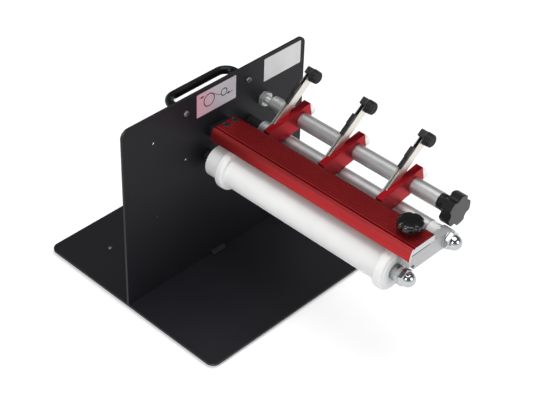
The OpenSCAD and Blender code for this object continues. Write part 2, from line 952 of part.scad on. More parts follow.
// Section of the rail: a ribbed flange with a rounded nose that ends in a thin lip
function rail_points() = concat(
  [
    [rail_back, rail_low],
    [rail_back, rail_top - back_slope_h],
    [rail_back - back_slope_w, rail_top]
  ],
  [for (i = [rib_count - 1 : -1 : 0], k = [0 : 3]) rib_point(i, k)],
  [
    [rail_front + edge_gap + edge_groove_w, rail_top],
    [rail_front + edge_gap + edge_groove_w, rail_top - edge_groove_h],
    [rail_front + edge_gap, rail_top - edge_groove_h],
    [rail_front + edge_gap, rail_top]
  ],
  [for (a = [0 : 15 : 90]) nose_point(a)],
  [
    [rail_front - lip_out + lip_t, lip_z],
    [rail_front - lip_out * 0.75 + lip_t, rail_low]
  ]
);

// Corners of the groove behind rib i, from back to front
function rib_point(i, k) = [
  rail_front + rib_start + (i + 0.5) * rib_pitch + (k < 2 ? 0.5 : -0.5) * rib_groove,
  rail_top - (k == 1 || k == 2 ? rib_depth : 0)
];

// Width of the edge in front of the wide groove
edge_gap = 0.4;

function nose_point(a) = [
  rail_front - lip_out * sin(a),
  rail_top - lip_drop * (1 - cos(a))
];

module rail() {
  color([0.62, 0.05, 0.09])
    difference() {
      prism_x(rail_x0, rail_x1)
        polygon(rail_points());
      translate([knob_x, knob_y, rail_low - cut])
        cylinder(h = rail_t + 2 * cut, r = knob_stud_d / 2 + hole_fit);
      for (p = rail_screw_places())
        translate([rail_screw_x, p, 0]) {
          translate([0, 0, rail_low - cut])
            cylinder(h = rail_t + 2 * cut, r = rail_screw_r + hole_fit);
          translate([0, 0, rail_top - rail_head_t - rib_depth])
            cylinder(h = rail_head_t + rib_depth + cut, r = rail_head_r + hole_fit);
        }
    }
}

function rail_screw_places() = [
  rail_screw_y - rail_screw_pitch / 2,
  rail_screw_y + rail_screw_pitch / 2
];

module rail_block() {
  color([0.1, 0.1, 0.1])
    difference() {
      translate([face, seat_back - block_w, block_z])
        cube([block_len, block_w, block_h]);
      for (p = rail_screw_places()) {
        translate([rail_screw_x, p, rail_low - rail_screw_in])
          cylinder(h = rail_screw_in + cut, r = rail_screw_r);
        translate([0, p, block_screw_z])
          rod_x(face - cut, face + block_screw_in, rail_screw_r);
      }
    }
}

module block_screws() {
  color([0.12, 0.12, 0.12])
    for (p = rail_screw_places())
      translate([0, p, block_screw_z])
        button_screw_x(back, -1, rail_screw_d, plate_t + block_screw_in);
}

module rail_screws() {
  color([0.08, 0.08, 0.08])
    for (p = rail_screw_places())
      translate([rail_screw_x, p, 0])
        difference() {
          union() {
            translate([0, 0, rail_low - rail_screw_in])
              cylinder(h = rail_screw_in + rail_t - rail_head_t, r = rail_screw_r);
            translate([0, 0, rail_top - rail_head_t - rib_depth])
              cylinder(h = rail_head_t, r = rail_head_r);
          }
          translate([0, 0, rail_top - rib_depth - rail_head_t * 0.5])
            cylinder(h = rail_head_t, r = rail_screw_r * 0.8, $fn = 6);
        }
}

module at_knob() {
  translate([knob_x, knob_y, rail_top])
    children();
}

module rail_washer() {
  color([0.72, 0.74, 0.76])
    at_knob()
      difference() {
        cylinder(h = washer_t, r = knob_stud_d);
        translate([0, 0, -cut])
          cylinder(h = washer_t + 2 * cut, r = knob_stud_d / 2 + hole_fit);
      }
}

module rail_knob() {
  hub_h = knob_h * 0.4;
  bottom = washer_t + end_play;
  color([0.07, 0.07, 0.07])
    at_knob()
      difference() {
        union() {
          translate([0, 0, bottom])
            cylinder(h = hub_h + cut, r = knob_stud_d);
          translate([0, 0, bottom + hub_h])
            linear_extrude(height = knob_h - hub_h)
              rotate(knob_turn)
                lobed_outline(knob_d, knob_lobes, knob_dip_r);
        }
        translate([0, 0, bottom - cut])
          cylinder(h = knob_h * 0.7 + cut, r = knob_stud_d / 2);
      }
}

module rail_knob_stud() {
  color([0.7, 0.72, 0.74])
    at_knob()
      translate([0, 0, -rail_t - knob_stud_in])
        cylinder(h = rail_t + knob_stud_in + washer_t + end_play + knob_h * 0.7, r = knob_stud_d / 2);
}

// An arm: a flat bar hooked over the rod, with a groove for the cutter in its inner side
module knife_arm(i) {
  color([0.62, 0.05, 0.09])
    difference() {
      at_arm(i)
        difference() {
          translate([-arm_t, -arm_reach, -arm_low])
            cube([arm_t, arm_reach + arm_back, arm_h]);
          rod_x(-arm_t - cut, cut, arm_bore_r);
          translate([-arm_t / 2, 0, screw_up])
            rotate([-90, 0, 0])
              cylinder(h = arm_back + cut, r = screw_r + run_fit);
        }
      at_cutter(i)
        translate([-sleeve_t / 2 - slide_fit - cut, -arm_reach, sleeve_low - slide_fit])
          cube([sleeve_t + slide_fit + cut, 2 * arm_reach, sleeve_high - sleeve_low + 2 * slide_fit]);
    }
}

module arm_screw(i) {
  color([0.95, 0.95, 0.94])
    at_arm(i)
      translate([-arm_t / 2, 0, screw_up])
        rotate([-90, 0, 0])
          difference() {
            union() {
              translate([0, 0, screw_tip])
                cylinder(h = arm_back + end_play - screw_tip + cut, r = screw_r);
              translate([0, 0, arm_back + end_play])
                cylinder(h = screw_head_t, d = screw_head_d);
            }
            translate([-screw_head_d / 2, -screw_r * 0.25, arm_back + screw_head_t * 0.7])
              cube([screw_head_d, screw_r * 0.5, screw_head_t]);
          }
}

// A sleeve: a channel that is open along its upper edge
module cutter_sleeve(i) {
  color([0.76, 0.75, 0.72])
    at_cutter(i)
      difference() {
        translate([-sleeve_t / 2, -sleeve_in, sleeve_low])
          cube([sleeve_t, sleeve_in + sleeve_up, sleeve_high - sleeve_low]);
        translate([-slot_t / 2, -sleeve_in - cut, sleeve_low + sleeve_wall])
          cube([slot_t, sleeve_in + sleeve_up + 2 * cut, sleeve_high - sleeve_low]);
      }
}

// A blade: a strip with a slanted end, whose point is on the lower edge
module cutter_blade(i) {
  short = blade_w / tan(blade_end);
  color([0.72, 0.73, 0.74])
    at_cutter(i)
      prism_x(-blade_t / 2, blade_t / 2)
        polygon([
          [-tip_s, -blade_w / 2],
          [-tail_s, -blade_w / 2],
          [-tail_s, blade_w / 2],
          [-tip_s + short, blade_w / 2]
        ]);
}

// A slider: a grip on the sleeve's edge and a tongue that holds the blade's tail
module cutter_slider(i) {
  tongue_t = slot_t - 2 * slide_fit;
  grip_t = sleeve_t;
  grip_z = sleeve_high + slide_fit;
  color([0.1, 0.1, 0.1])
    at_cutter(i)
      difference() {
        union() {
          translate([-tongue_t / 2, -tail_s, -blade_w / 2])
            cube([tongue_t, slider_len - slider_lap, grip_z + blade_w / 2 + slide_fit]);
          translate([-grip_t / 2, -slider_s, grip_z])
            cube([grip_t, slider_len, slider_h * 0.7]);
          translate([-grip_t / 2, -slider_s + slider_len * 0.5, grip_z])
            cube([grip_t, slider_len * 0.5, slider_h]);
        }
        translate([-slot_t / 2, -slider_s + slider_len * 0.38, grip_z + slider_h * 0.4])
          cube([slot_t, slider_len * 0.1, slider_h]);
      }
}

// A cap: a plain part over the sleeve's end, and a drum with ring grooves beside it
module cutter_cap(i) {
  rings = 3;
  ring_w = drum_len / (2 * rings + 1);
  drum_r = drum_d / 2;
  color([0.08, 0.08, 0.08])
    at_cutter(i)
      difference() {
        union() {
          translate([-cap_near, -cap_s, cap_up - cap_w / 2])
            cube([cap_near + cap_far, cap_len - cap_step, cap_w]);
          at_drum()
            rod_x(cap_far - cut, cap_far + drum_len, drum_r);
        }
        translate([-sleeve_t / 2 - slide_fit, -cap_s - cut, sleeve_low - slide_fit])
          cube([sleeve_t + 2 * slide_fit, cap_lap + cut, sleeve_high - sleeve_low + 2 * slide_fit]);
        for (k = [0 : rings - 1])
          at_drum()
            translate([cap_far + (2 * k + 1) * ring_w, 0, 0])
              ring_x(0, ring_w, drum_r + cut, drum_r - ring_w * 0.6);
      }
}

// Places the drum's axis in the cutter frame, with the drum's top at the cap's top
module at_drum() {
  translate([0, -cap_s + cap_len - drum_d / 2, cap_up])
    children();
}

base_plate();
base_rivet();
upright_plate();
angle_strip();
angle_screws();
base_lug();
rubber_feet();
carry_handle();
handle_screws();
path_label();
notice_label();
shaft_washers();
shaft_nuts();
knife_rod();
rod_stud();
rod_knob();
rod_knob_stud();
guide_axle();
guide_spacer();
guide_tube();
guide_bushes();
guide_washers();
guide_dome_nut();
end_bar();
roller_axle();
roller_spacer();
web_roller();
roller_rims();
roller_bushes();
roller_collar();
roller_jam_nut();
roller_dome_nut();
rail();
rail_block();
block_screws();
rail_screws();
rail_washer();
rail_knob();
rail_knob_stud();
knife_arm(1);  // knife_arm_1
arm_screw(1);  // arm_screw_1
cutter_sleeve(1);  // cutter_sleeve_1
cutter_blade(1);  // cutter_blade_1
cutter_slider(1);  // cutter_slider_1
cutter_cap(1);  // cutter_cap_1
knife_arm(2);  // knife_arm_2
arm_screw(2);  // arm_screw_2
cutter_sleeve(2);  // cutter_sleeve_2
cutter_blade(2);  // cutter_blade_2
cutter_slider(2);  // cutter_slider_2
cutter_cap(2);  // cutter_cap_2
knife_arm(3);  // knife_arm_3
arm_screw(3);  // arm_screw_3
cutter_sleeve(3);  // cutter_sleeve_3
cutter_blade(3);  // cutter_blade_3
cutter_slider(3);  // cutter_slider_3
cutter_cap(3);  // cutter_cap_3
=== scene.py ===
# %% [markdown]
# # A bench-top label slitter
#
# A black upright plate stands on a black base plate. A white roller, a red ribbed rail, an aluminium tube
# and a rod with three knife arms stand out from it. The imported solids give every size, and this lesson
# dresses them: it rounds edges, turns the round parts on a lathe, and writes the finishes as node maths.

# %% Load the solids
import json
import math

import bmesh
import bpy
from mathutils import Matrix, Vector

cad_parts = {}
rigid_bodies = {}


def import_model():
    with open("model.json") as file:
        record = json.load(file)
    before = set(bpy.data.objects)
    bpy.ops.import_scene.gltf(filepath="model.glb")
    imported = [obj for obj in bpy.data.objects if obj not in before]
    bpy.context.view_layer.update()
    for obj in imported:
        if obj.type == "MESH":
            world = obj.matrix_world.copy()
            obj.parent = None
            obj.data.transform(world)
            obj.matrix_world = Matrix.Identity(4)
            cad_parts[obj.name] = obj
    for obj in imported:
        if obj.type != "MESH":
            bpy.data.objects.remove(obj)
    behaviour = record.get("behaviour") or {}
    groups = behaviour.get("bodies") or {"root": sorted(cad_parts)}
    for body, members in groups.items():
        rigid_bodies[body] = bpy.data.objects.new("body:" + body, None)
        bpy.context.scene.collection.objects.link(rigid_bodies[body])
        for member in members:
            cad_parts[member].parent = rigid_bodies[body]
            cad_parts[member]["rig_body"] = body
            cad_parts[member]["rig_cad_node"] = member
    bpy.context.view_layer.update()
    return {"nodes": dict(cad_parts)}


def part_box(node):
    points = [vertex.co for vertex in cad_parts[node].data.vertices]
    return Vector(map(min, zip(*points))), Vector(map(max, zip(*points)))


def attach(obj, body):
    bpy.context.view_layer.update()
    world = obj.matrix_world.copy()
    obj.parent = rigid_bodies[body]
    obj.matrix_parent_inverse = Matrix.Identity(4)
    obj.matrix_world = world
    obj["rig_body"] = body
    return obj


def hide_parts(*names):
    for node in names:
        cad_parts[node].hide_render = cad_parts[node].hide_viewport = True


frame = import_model()
MM = 0.001

# %% [markdown]
# ## Camera
#
# The picture is taken from the front right, from above, with a long lens. The camera's angles could be set
# as Euler angles, but the slight roll is easier to see as three directions: right, up and back.

# %% Camera at the photograph's angle
AZIMUTH, ELEVATION, ROLL = (math.radians(a) for a in (43.134, 38.596, 1.987))
CAMERA_PLACE = Vector((0.9602, -0.9388, 1.1553))
LENS = 99.32
back = Vector((
    math.sin(AZIMUTH) * math.cos(ELEVATION),
    -math.cos(AZIMUTH) * math.cos(ELEVATION),
    math.sin(ELEVATION),
))
right = Vector((math.cos(AZIMUTH), math.sin(AZIMUTH), 0))
up = back.cross(right)
rolled_right = math.cos(ROLL) * right + math.sin(ROLL) * up
rolled_up = math.cos(ROLL) * up - math.sin(ROLL) * right
camera = bpy.data.objects.new("camera", bpy.data.cameras.new("camera"))
bpy.context.scene.collection.objects.link(camera)
camera.data.sensor_width = 36
camera.data.lens = LENS
camera.matrix_world = (
    Matrix.Translation(CAMERA_PLACE) @ Matrix((rolled_right, rolled_up, back)).transposed().to_4x4()
)
bpy.context.scene.camera = camera
print("camera stands", round(CAMERA_PLACE.length, 3), "m from the middle of the base")

# %% [markdown]
# ## Shader maths
#
# Node trees are quicker to read as sums than as boxes and noodles. `Wire` wraps one socket, so that
# `0.4 + 0.1 * grain` adds the two Math nodes by itself. Every other node comes from `Wire.node`.

# %% A wire that takes part in sums


class Wire:
    """A socket of a material's tree, or with no socket the tree itself."""

    def __init__(self, tree, socket=None):
        self.tree, self.socket = tree, socket

    def node(self, kind, settings=None, inputs=None, out=0):
        made = self.tree.nodes.new("ShaderNode" + kind)
        for name, value in (settings or {}).items():
            if name == "stops":
                for element, (place, colour) in zip(made.color_ramp.elements, value):
                    element.position, element.color = place, (*colour, 1)
            else:
                setattr(made, name, value)
        for name, value in (inputs or {}).items():
            self.plug(made.inputs[name], value)
        return Wire(self.tree, made.outputs[out])

    def plug(self, socket, value):
        if isinstance(value, Wire):
            self.tree.links.new(value.socket, socket)
        elif socket.type == "RGBA" and len(value) == 3:
            socket.default_value = (*value, 1)
        else:
            socket.default_value = value

    def math(self, operation, *values):
        return self.node("Math", {"operation": operation}, dict(enumerate(values)))

    def __add__(self, other):
        return self.math("ADD", self, other)

    def __sub__(self, other):
        return self.math("SUBTRACT", self, other)

    def __rsub__(self, other):
        return self.math("SUBTRACT", other, self)

    def __mul__(self, other):
        return self.math("MULTIPLY", self, other)

    def __truediv__(self, other):
        return self.math("DIVIDE", self, other)

    def __pow__(self, other):
        return self.math("POWER", self, other)

    def __abs__(self):
        return self.math("ABSOLUTE", self)

    __radd__ = __add__
    __rmul__ = __mul__

    def smaller(self, other):
        return self.math("MINIMUM", self, other)

    def larger(self, other):
        return self.math("MAXIMUM", self, other)

    def step(self, low, high):
        """0 below low and 1 above high, with a soft rise between."""
        ends = {"Value": self, "From Min": low, "From Max": high}
        return self.node("MapRange", {"interpolation_type": "SMOOTHSTEP"}, ends)

    def mix(self, first, second):
        """The first colour where this wire is 0, the second where it is 1."""
        return self.node("Mix", {"data_type": "RGBA"}, {0: self, 6: first, 7: second}, out=2)


print("wire ready")

# %% [markdown]
# ## A blank finish
#
# Each finish starts as a Principled shader. Numbers that hold all over the surface go straight on its
# sockets. What changes over the surface is read from Object coordinates, so it stays put on a moving part.

# %% Start a finish, and the patterns that finishes share


class Finish(Wire):
    """A material's tree with its shader, and the patterns that several finishes use."""

    def __init__(self, name, **constants):
        self.material = bpy.data.materials.new(name)
        self.material.use_nodes = True
        super().__init__(self.material.node_tree)
        self.shader = self.tree.nodes["Principled BSDF"]
        self.give(**constants)

    def give(self, **values):
        for name, value in values.items():
            self.plug(self.shader.inputs[name.replace("_", " ")], value)

    def place(self, stretch=(1, 1, 1), turn=(0, 0, 0)):
        """Object coordinates in millimetres, turned and stretched."""
        source = self.node("TexCoord", out="Object")
        sockets = {"Vector": source, "Rotation": turn, "Scale": tuple(s / MM for s in stretch)}
        return self.node("Mapping", {"vector_type": "POINT"}, sockets)

    def axes(self, vector):
        split = self.node("SeparateXYZ", inputs={0: vector}).socket.node
        return [Wire(self.tree, socket) for socket in split.outputs]

    def grain(self, vector, scale, detail=2.0, roughness=0.5):
        sockets = {"Vector": vector, "Scale": scale, "Detail": detail, "Roughness": roughness}
        return self.node("TexNoise", inputs=sockets)

    def edges(self):
        """1 on the rounded edges of a piece that is square to the axes, 0 on its flats."""
        nx, ny, nz = (abs(n) for n in self.axes(self.node("TexCoord", out="Normal")))
        return (1 - nx.larger(ny).larger(nz)).step(0.01, 0.2)

    def bump(self, height, depth_mm, strength=1.0):
        sockets = {"Height": height, "Distance": depth_mm * MM, "Strength": strength}
        self.give(Normal=self.node("Bump", inputs=sockets))


print("finish ready")

# %% [markdown]
# ## Black powder coat
#
# Powder coat is baked plastic dust: nearly black, with an orange-peel surface a fraction of a millimetre
# across, and paler on its rounded edges. An image could show that, but noise at two
# sizes does it on any plate without a seam.

# %% Black powder coat


def powder_coat(name, edge_pale):
    coat = Finish(name, Specular_IOR_Level=0.2)
    place = coat.place()
    peel = coat.grain(place, 1.6, detail=3)
    cloud = coat.grain(place, 0.012, detail=4)
    speck = coat.grain(place, 0.9, detail=1).step(0.74, 0.8)
    dark, light = (0.0085, 0.0083, 0.0112), (0.0118, 0.0115, 0.0148)
    plain = cloud.mix(dark, light)
    dusted = (speck * 0.2).mix(plain, (0.05, 0.05, 0.052))
    coat.give(Base_Color=(coat.edges() * edge_pale).mix(dusted, (0.07, 0.07, 0.073)))
    coat.give(Roughness=0.4 + 0.1 * cloud + 0.08 * peel)
    coat.bump(peel, 0.05, 0.5)
    return coat.material


BLACK_COAT, PLAIN_COAT = powder_coat("black_coat", 0.7), powder_coat("plain_coat", 0.0)
print("finishes:", BLACK_COAT.name, PLAIN_COAT.name)

# %% [markdown]
# ## Red anodising
#
# The rail and the arms are extruded aluminium, dyed red under a clear skin. The metal still shows: fine
# draw lines run along the extrusion, edges are paler where the skin is thin, and the rail's sawn ends are
# bare.
# The grooves between the rail's ribs are painted darker, as the shade in them. A plain red paint would lack
# the metal's broad sheen.

# %% Red anodised aluminium


def red_anodised(name, metallic, deep, bright, lines, bare_ends_and_groove_shade):
    red = Finish(name, Metallic=metallic, Specular_IOR_Level=0.4)
    drawn = red.grain(red.place(lines), 1.0, detail=3)
    cloud = red.grain(red.place(), 0.03, detail=3)
    colour = (0.6 * drawn + 0.4 * cloud).mix(deep, bright)
    colour = (red.edges() * 0.35).mix(colour, (0.6, 0.1, 0.1))
    roughness = 0.3 + 0.14 * drawn + 0.06 * cloud
    if bare_ends_and_groove_shade:
        nx, _, nz = red.axes(red.node("TexCoord", out="Normal"))
        sawn = abs(nx).step(0.9, 0.97)
        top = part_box("rail")[1].z / MM
        # painted shade: the floors of the grooves between the rail's ribs, below its top, are painted darker
        rib_groove_shade = nz.step(0.8, 0.95) * (1 - red.axes(red.place())[2].step(top - 0.35, top - 0.1))
        colour = (0.8 * rib_groove_shade).mix(colour, (0.09, 0.002, 0.004))
        colour = sawn.mix(colour, (0.56, 0.57, 0.58))
    red.give(Base_Color=colour, Roughness=roughness)
    red.bump(drawn, 0.03, 0.35)
    return red.material


RAIL_RED = red_anodised("rail_red", 0.92, (0.34, 0.017, 0.021), (0.46, 0.03, 0.033), (0.02, 4, 4), True)
ARM_RED = red_anodised("arm_red", 1.0, (0.3, 0.007, 0.013), (0.42, 0.014, 0.022), (3, 0.03, 3), False)
print("finishes:", RAIL_RED.name, ARM_RED.name)

# %% [markdown]
# ## Bare metals
#
# The rod and the tube are satin aluminium, the nuts are bright zinc with a faint blue and straw play, the
# dome nuts are polished and the roller's collar is grey steel. One recipe makes them all: metal, a streaked
# roughness, and a cloud that tints the colour.

# %% Bare metals


def bare_metal(name, colour, tint, rough, streak, depth=0.01, spread=0.12, metallic=1.0):
    metal = Finish(name, Metallic=metallic)
    lines = metal.grain(metal.place(streak), 1.0, detail=3)
    cloud = metal.grain(metal.place(), 0.11, detail=2)
    metal.give(Base_Color=cloud.step(0.3, 0.7).mix(colour, tint))
    metal.give(Roughness=rough + spread * (lines - 0.5) + 0.3 * spread * (cloud - 0.5))
    metal.bump(lines, depth, 0.4)
    return metal.material


SATIN = bare_metal("satin_aluminium", (0.5, 0.505, 0.51), (0.54, 0.545, 0.55), 0.48, (0.03, 5, 5))
DULL_ZINC = bare_metal("dull_zinc", (0.2, 0.21, 0.22), (0.24, 0.24, 0.235), 0.42, (2, 2, 2))
ZINC = bare_metal("zinc", (0.44, 0.47, 0.48), (0.5, 0.5, 0.47), 0.28, (2, 2, 2), metallic=0.6)
CHROME = bare_metal(
    "chrome", (0.45, 0.47, 0.49), (0.5, 0.515, 0.525), 0.09, (0.4, 0.4, 0.4), spread=0.06, depth=0.002
)
STEEL = bare_metal("grey_steel", (0.33, 0.37, 0.39), (0.4, 0.43, 0.44), 0.32, (0.2, 3, 3))
print("finishes:", *(m.name for m in (SATIN, DULL_ZINC, ZINC, CHROME, STEEL)))

# %% [markdown]
# ## The end bar
#
# The end bar is sawn from flat aluminium and left dull, so half of its light is scattered rather than
# mirrored. The rail's shadow on the bar is painted on as a dark band under the rail, from a given height up
# and in front of a given depth.

# %% Dull aluminium with a painted shadow line
SHADOW_Y, SHADOW_Z = 21.0, 182.1


def sawn_bar():
    bar = Finish("end_bar_aluminium", Metallic=0.5)
    lines = bar.grain(bar.place((3, 0.04, 3)), 1.0, detail=3)
    y, z = bar.axes(bar.place())[1:]
    # painted shadow: a dark band just under the rail, where the rail's shadow falls on the bar
    band = z.step(SHADOW_Z - 0.5, SHADOW_Z + 0.5) * (1 - z.step(SHADOW_Z + 2, SHADOW_Z + 4))
    rail_shadow = band * (1 - y.step(SHADOW_Y - 2, SHADOW_Y + 2))
    bar.give(Base_Color=rail_shadow.mix((0.48, 0.485, 0.49), (0.02, 0.022, 0.023)))
    bar.give(Roughness=0.42 + 0.12 * (lines - 0.5) + 0.3 * rail_shadow)
    bar.bump(lines, 0.01, 0.4)
    return bar.material


BRIGHT_BAR = sawn_bar()
print("finish:", BRIGHT_BAR.name)

# %% [markdown]
# ## Stainless knife sleeves
#
# A knife sleeve is folded from thin stainless sheet into a channel. Its outside is rolled bright. Inside it
# is painted dull and dark as the shade in the deep channel above the slider, and below the slider only a thin
# painted dark line is left. The three sleeves stand one pitch apart, so the place across the nearest sleeve
# tells inside from outside, and the place along it tells where the slider starts.

# %% Folded stainless sheet
CUTTER_TILT = math.radians(37)
SLEEVE_X, PITCH_X, SLOT_HALF, SLIDER_ALONG = 54.4, 82.0, 1.9, 177.3


def folded_sheet():
    sheet = Finish("stainless", Metallic=1.0)
    lines = sheet.grain(sheet.place((4, 0.04, 4), (-CUTTER_TILT, 0, 0)), 1.0, detail=3)
    along = sheet.axes(sheet.place(turn=(-CUTTER_TILT, 0, 0)))[1]
    # painted shade: above the slider the whole inside of the channel is painted dark, below it only a thin
    # line
    shade_above_slider = along.step(SLIDER_ALONG - 1, SLIDER_ALONG + 1)
    cloud = sheet.grain(sheet.place(), 0.11, detail=2)
    x = sheet.axes(sheet.place())[0]
    across = abs(sheet.math("FRACT", (x - SLEEVE_X) / PITCH_X + 0.5) - 0.5) * PITCH_X
    inside = 1 - (across - SLOT_HALF * (0.3 + 0.7 * shade_above_slider)).step(-0.1, 0.1)
    bright = cloud.step(0.3, 0.7).mix((0.7, 0.67, 0.61), (0.76, 0.73, 0.68))
    sheet.give(Base_Color=inside.mix(bright, (0.03, 0.029, 0.027)))
    sheet.give(Roughness=0.33 + 0.12 * (lines - 0.5) + 0.3 * inside)
    sheet.bump(lines, 0.01, 0.4)
    return sheet.material


STAINLESS = folded_sheet()
print("finish:", STAINLESS.name)

# %% [markdown]
# ## Snap-off blade steel
#
# A snap-off blade is scored across at a slant every few millimetres, and one long edge is ground. The score
# lines are thin sums of the two directions in the blade's own plane, so they need no geometry.

# %% Scored blade
SCORE_SLANT, SCORE_PITCH = math.radians(30), 5.0


def blade_steel():
    steel = Finish("blade_steel", Metallic=1.0)
    _, along, rise = steel.axes(steel.place(turn=(-CUTTER_TILT, 0, 0)))
    segment = (along + rise * math.tan(SCORE_SLANT)) / SCORE_PITCH
    score = abs(steel.math("FRACT", segment) - 0.5).step(0.46, 0.49)
    cloud = steel.grain(steel.place(), 0.4)
    steel.give(Base_Color=(score * 0.7).mix((0.56, 0.57, 0.59), (0.2, 0.2, 0.21)))
    steel.give(Roughness=0.22 + 0.1 * cloud + 0.2 * score)
    steel.bump(1 - score, 0.08, 0.6)
    return steel.material


BLADE = blade_steel()
print("finish:", BLADE.name)

# %% [markdown]
# ## Plastics and rubber
#
# The roller and the bushes are white engineering plastic with faint turning marks, the thumbscrews are milky
# nylon, and the sliders, the handle and the rail's knob are black plastic. They share one recipe and differ
# in colour, gloss and grain; a faint glow stands for the light that passes through nylon. The rod's knob has
# its front painted grey as lamp light on it, and the caps have painted shade in the grooves of their drums.

# %% Plastics and rubber


def plastic(name, colour, worn, rough, grain_mm, depth, stretch=(1, 1, 1), gloss=0.5, glow=0.0):
    body = Finish(name, Specular_IOR_Level=gloss, Emission_Color=(1, 1, 1), Emission_Strength=glow)
    fine = body.grain(body.place(stretch), 1 / grain_mm, detail=2)
    cloud = body.grain(body.place(), 0.05, detail=3)
    body.give(Base_Color=cloud.step(0.3, 0.75).mix(colour, worn))
    body.give(Roughness=rough + 0.12 * (cloud - 0.5) + 0.08 * (fine - 0.5))
    body.bump(fine, depth, 0.4)
    return body.material


TURNED = (2.5, 0.15, 0.15)
ROLLER_WHITE = plastic("roller_white", (0.8, 0.8, 0.795), (0.76, 0.765, 0.76), 0.42, 1.0, 0.02, TURNED)
NYLON = plastic("nylon", (0.82, 0.82, 0.81), (0.78, 0.78, 0.77), 0.36, 0.8, 0.015, glow=0.14)
MOULDED = plastic("moulded_black", (0.009, 0.009, 0.0105), (0.014, 0.014, 0.0155), 0.36, 0.5, 0.03, gloss=0.5)
GLOSSY = plastic("glossy_black", (0.0025, 0.0025, 0.003), (0.004, 0.004, 0.0045), 0.18, 1.2, 0.006, gloss=0.5)
GRIP = plastic("handle_black", (0.004, 0.004, 0.0045), (0.006, 0.006, 0.0065), 0.26, 0.9, 0.015, gloss=0.2)
BLACK_SCREW = plastic(
    "black_oxide", (0.012, 0.013, 0.014), (0.018, 0.018, 0.019), 0.38, 0.6, 0.02, gloss=0.25
)
RUBBER = plastic("rubber", (0.014, 0.014, 0.014), (0.022, 0.022, 0.022), 0.72, 0.4, 0.06, gloss=0.25)


def lit_front_knob():
    knob = Finish("knob_painted_lit_front", Specular_IOR_Level=0.3)
    fine = knob.grain(knob.place(), 1.6, detail=2)
    cloud = knob.grain(knob.place(), 0.06, detail=3)
    nx = knob.axes(knob.node("TexCoord", out="Normal"))[0]
    # painted light: the face toward +X is painted grey, as lit by the lamp, and the rest stays near black
    front = nx.step(0.9, 0.99) * (0.8 + 0.4 * cloud)
    knob.give(Base_Color=front.mix((0.004, 0.004, 0.0045), (0.07, 0.07, 0.073)))
    knob.give(Roughness=0.4 + 0.1 * cloud)
    knob.bump(fine, 0.03, 0.4)
    return knob.material


RIDGE_START, RIDGE_PITCH = 4.69, 2.246


def shaded_grooves():
    cap = Finish("caps_painted_groove_shade", Specular_IOR_Level=0.5)
    fine = cap.grain(cap.place(), 2.0, detail=2)
    x = cap.axes(cap.place())[0]
    local = (cap.math("FRACT", (x - SLEEVE_X) / PITCH_X + 0.5) - 0.5) * PITCH_X
    turn = cap.math("FRACT", (local - RIDGE_START) / RIDGE_PITCH)
    # painted shade: the drum's ring grooves are painted near black
    drum_groove_shade = local.step(4.5, 4.7) * (1 - abs(turn - 0.27).step(0.24, 0.3))
    cap.give(Base_Color=drum_groove_shade.mix((0.014, 0.014, 0.0155), (0.001, 0.001, 0.001)))
    cap.give(Roughness=0.36 + 0.3 * drum_groove_shade + 0.06 * fine)
    cap.bump(fine, 0.03, 0.4)
    return cap.material


KNOB_LIT_FRONT, RIDGED = lit_front_knob(), shaded_grooves()
plastics = (ROLLER_WHITE, NYLON, MOULDED, GLOSSY, KNOB_LIT_FRONT, RIDGED, GRIP, BLACK_SCREW, RUBBER)
print("finishes:", *(m.name for m in plastics))

# %% [markdown]
# ## Label film
#
# Two silvery film stickers sit on the upright. One is pinker toward its front edge, and carries a simple
# drawing of how the web runs: over the roller, then under the tube. The drawing is made of distances,
# because a line is just the place where the distance to a segment is small. Its points are millimetres from
# the sticker's middle. The other sticker is left plain.

# %% Film, and the path drawing
RINGS = (((-11.5, 1.6), 7.9), ((11.4, 1.5), 4.5))
DASHES = (((-23, 9.5), (-21, 9.5)), ((17.5, -2.8), (19.5, -2.8)))
WEB = (((-26, 9.5), (-20, 9.5)), ((-5.5, 7), (4, 0.8)), ((4, 0.8), (7, 0.4)), ((16, -2.8), (24.5, -2.8)))


def film(name):
    sticker = Finish(name, Metallic=0.25)
    fibre = sticker.grain(sticker.place((1, 0.2, 4)), 1.0)
    sticker.give(Roughness=0.34 + 0.1 * fibre)
    sticker.bump(fibre, 0.006, 0.3)
    return sticker, sticker.grain(sticker.place(), 0.03).step(0.25, 0.75)


def segment_distance(sticker, u, v, start, end):
    """Distance in the sticker's plane from each point to the line between two points."""
    run, rise = end[0] - start[0], end[1] - start[1]
    length = run * run + rise * rise
    along = ((u - start[0]) * (run / length) + (v - start[1]) * (rise / length)).larger(0.0).smaller(1.0)
    return sticker.math("SQRT", (u - start[0] - along * run) ** 2.0 + (v - start[1] - along * rise) ** 2.0)


def circle_distance(sticker, u, v, middle, radius):
    return abs(sticker.math("SQRT", (u - middle[0]) ** 2.0 + (v - middle[1]) ** 2.0) - radius)


def path_drawing():
    sticker, cloud = film("path_film")
    low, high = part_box("path_label")
    middle = (low + high) / 2 / MM
    u, v = sticker.axes(sticker.place())[1:]
    u, v = u - middle.y, v - middle.z
    first, second = (circle_distance(sticker, u, v, *ring) for ring in RINGS)
    nearest = first.smaller(second)
    for lines, offset in ((DASHES, -0.5), (WEB, 0.3)):
        for start, end in lines:
            nearest = nearest.smaller(segment_distance(sticker, u, v, start, end) + offset)
    ink = 1 - nearest.step(0.45, 0.9)
    ground = (0.9 * u.step(-36, 8) + 0.1 * cloud).mix((0.82, 0.43, 0.53), (0.63, 0.63, 0.67))
    sticker.give(Base_Color=ink.mix(ground, (0.03, 0.015, 0.02)))
    return sticker.material


def plain_film():
    sticker, cloud = film("plain_film")
    sticker.give(Base_Color=cloud.mix((0.68, 0.68, 0.69), (0.74, 0.74, 0.75)))
    return sticker.material


PATH_FILM, PLAIN_FILM = path_drawing(), plain_film()
print("finishes:", PATH_FILM.name, PLAIN_FILM.name)

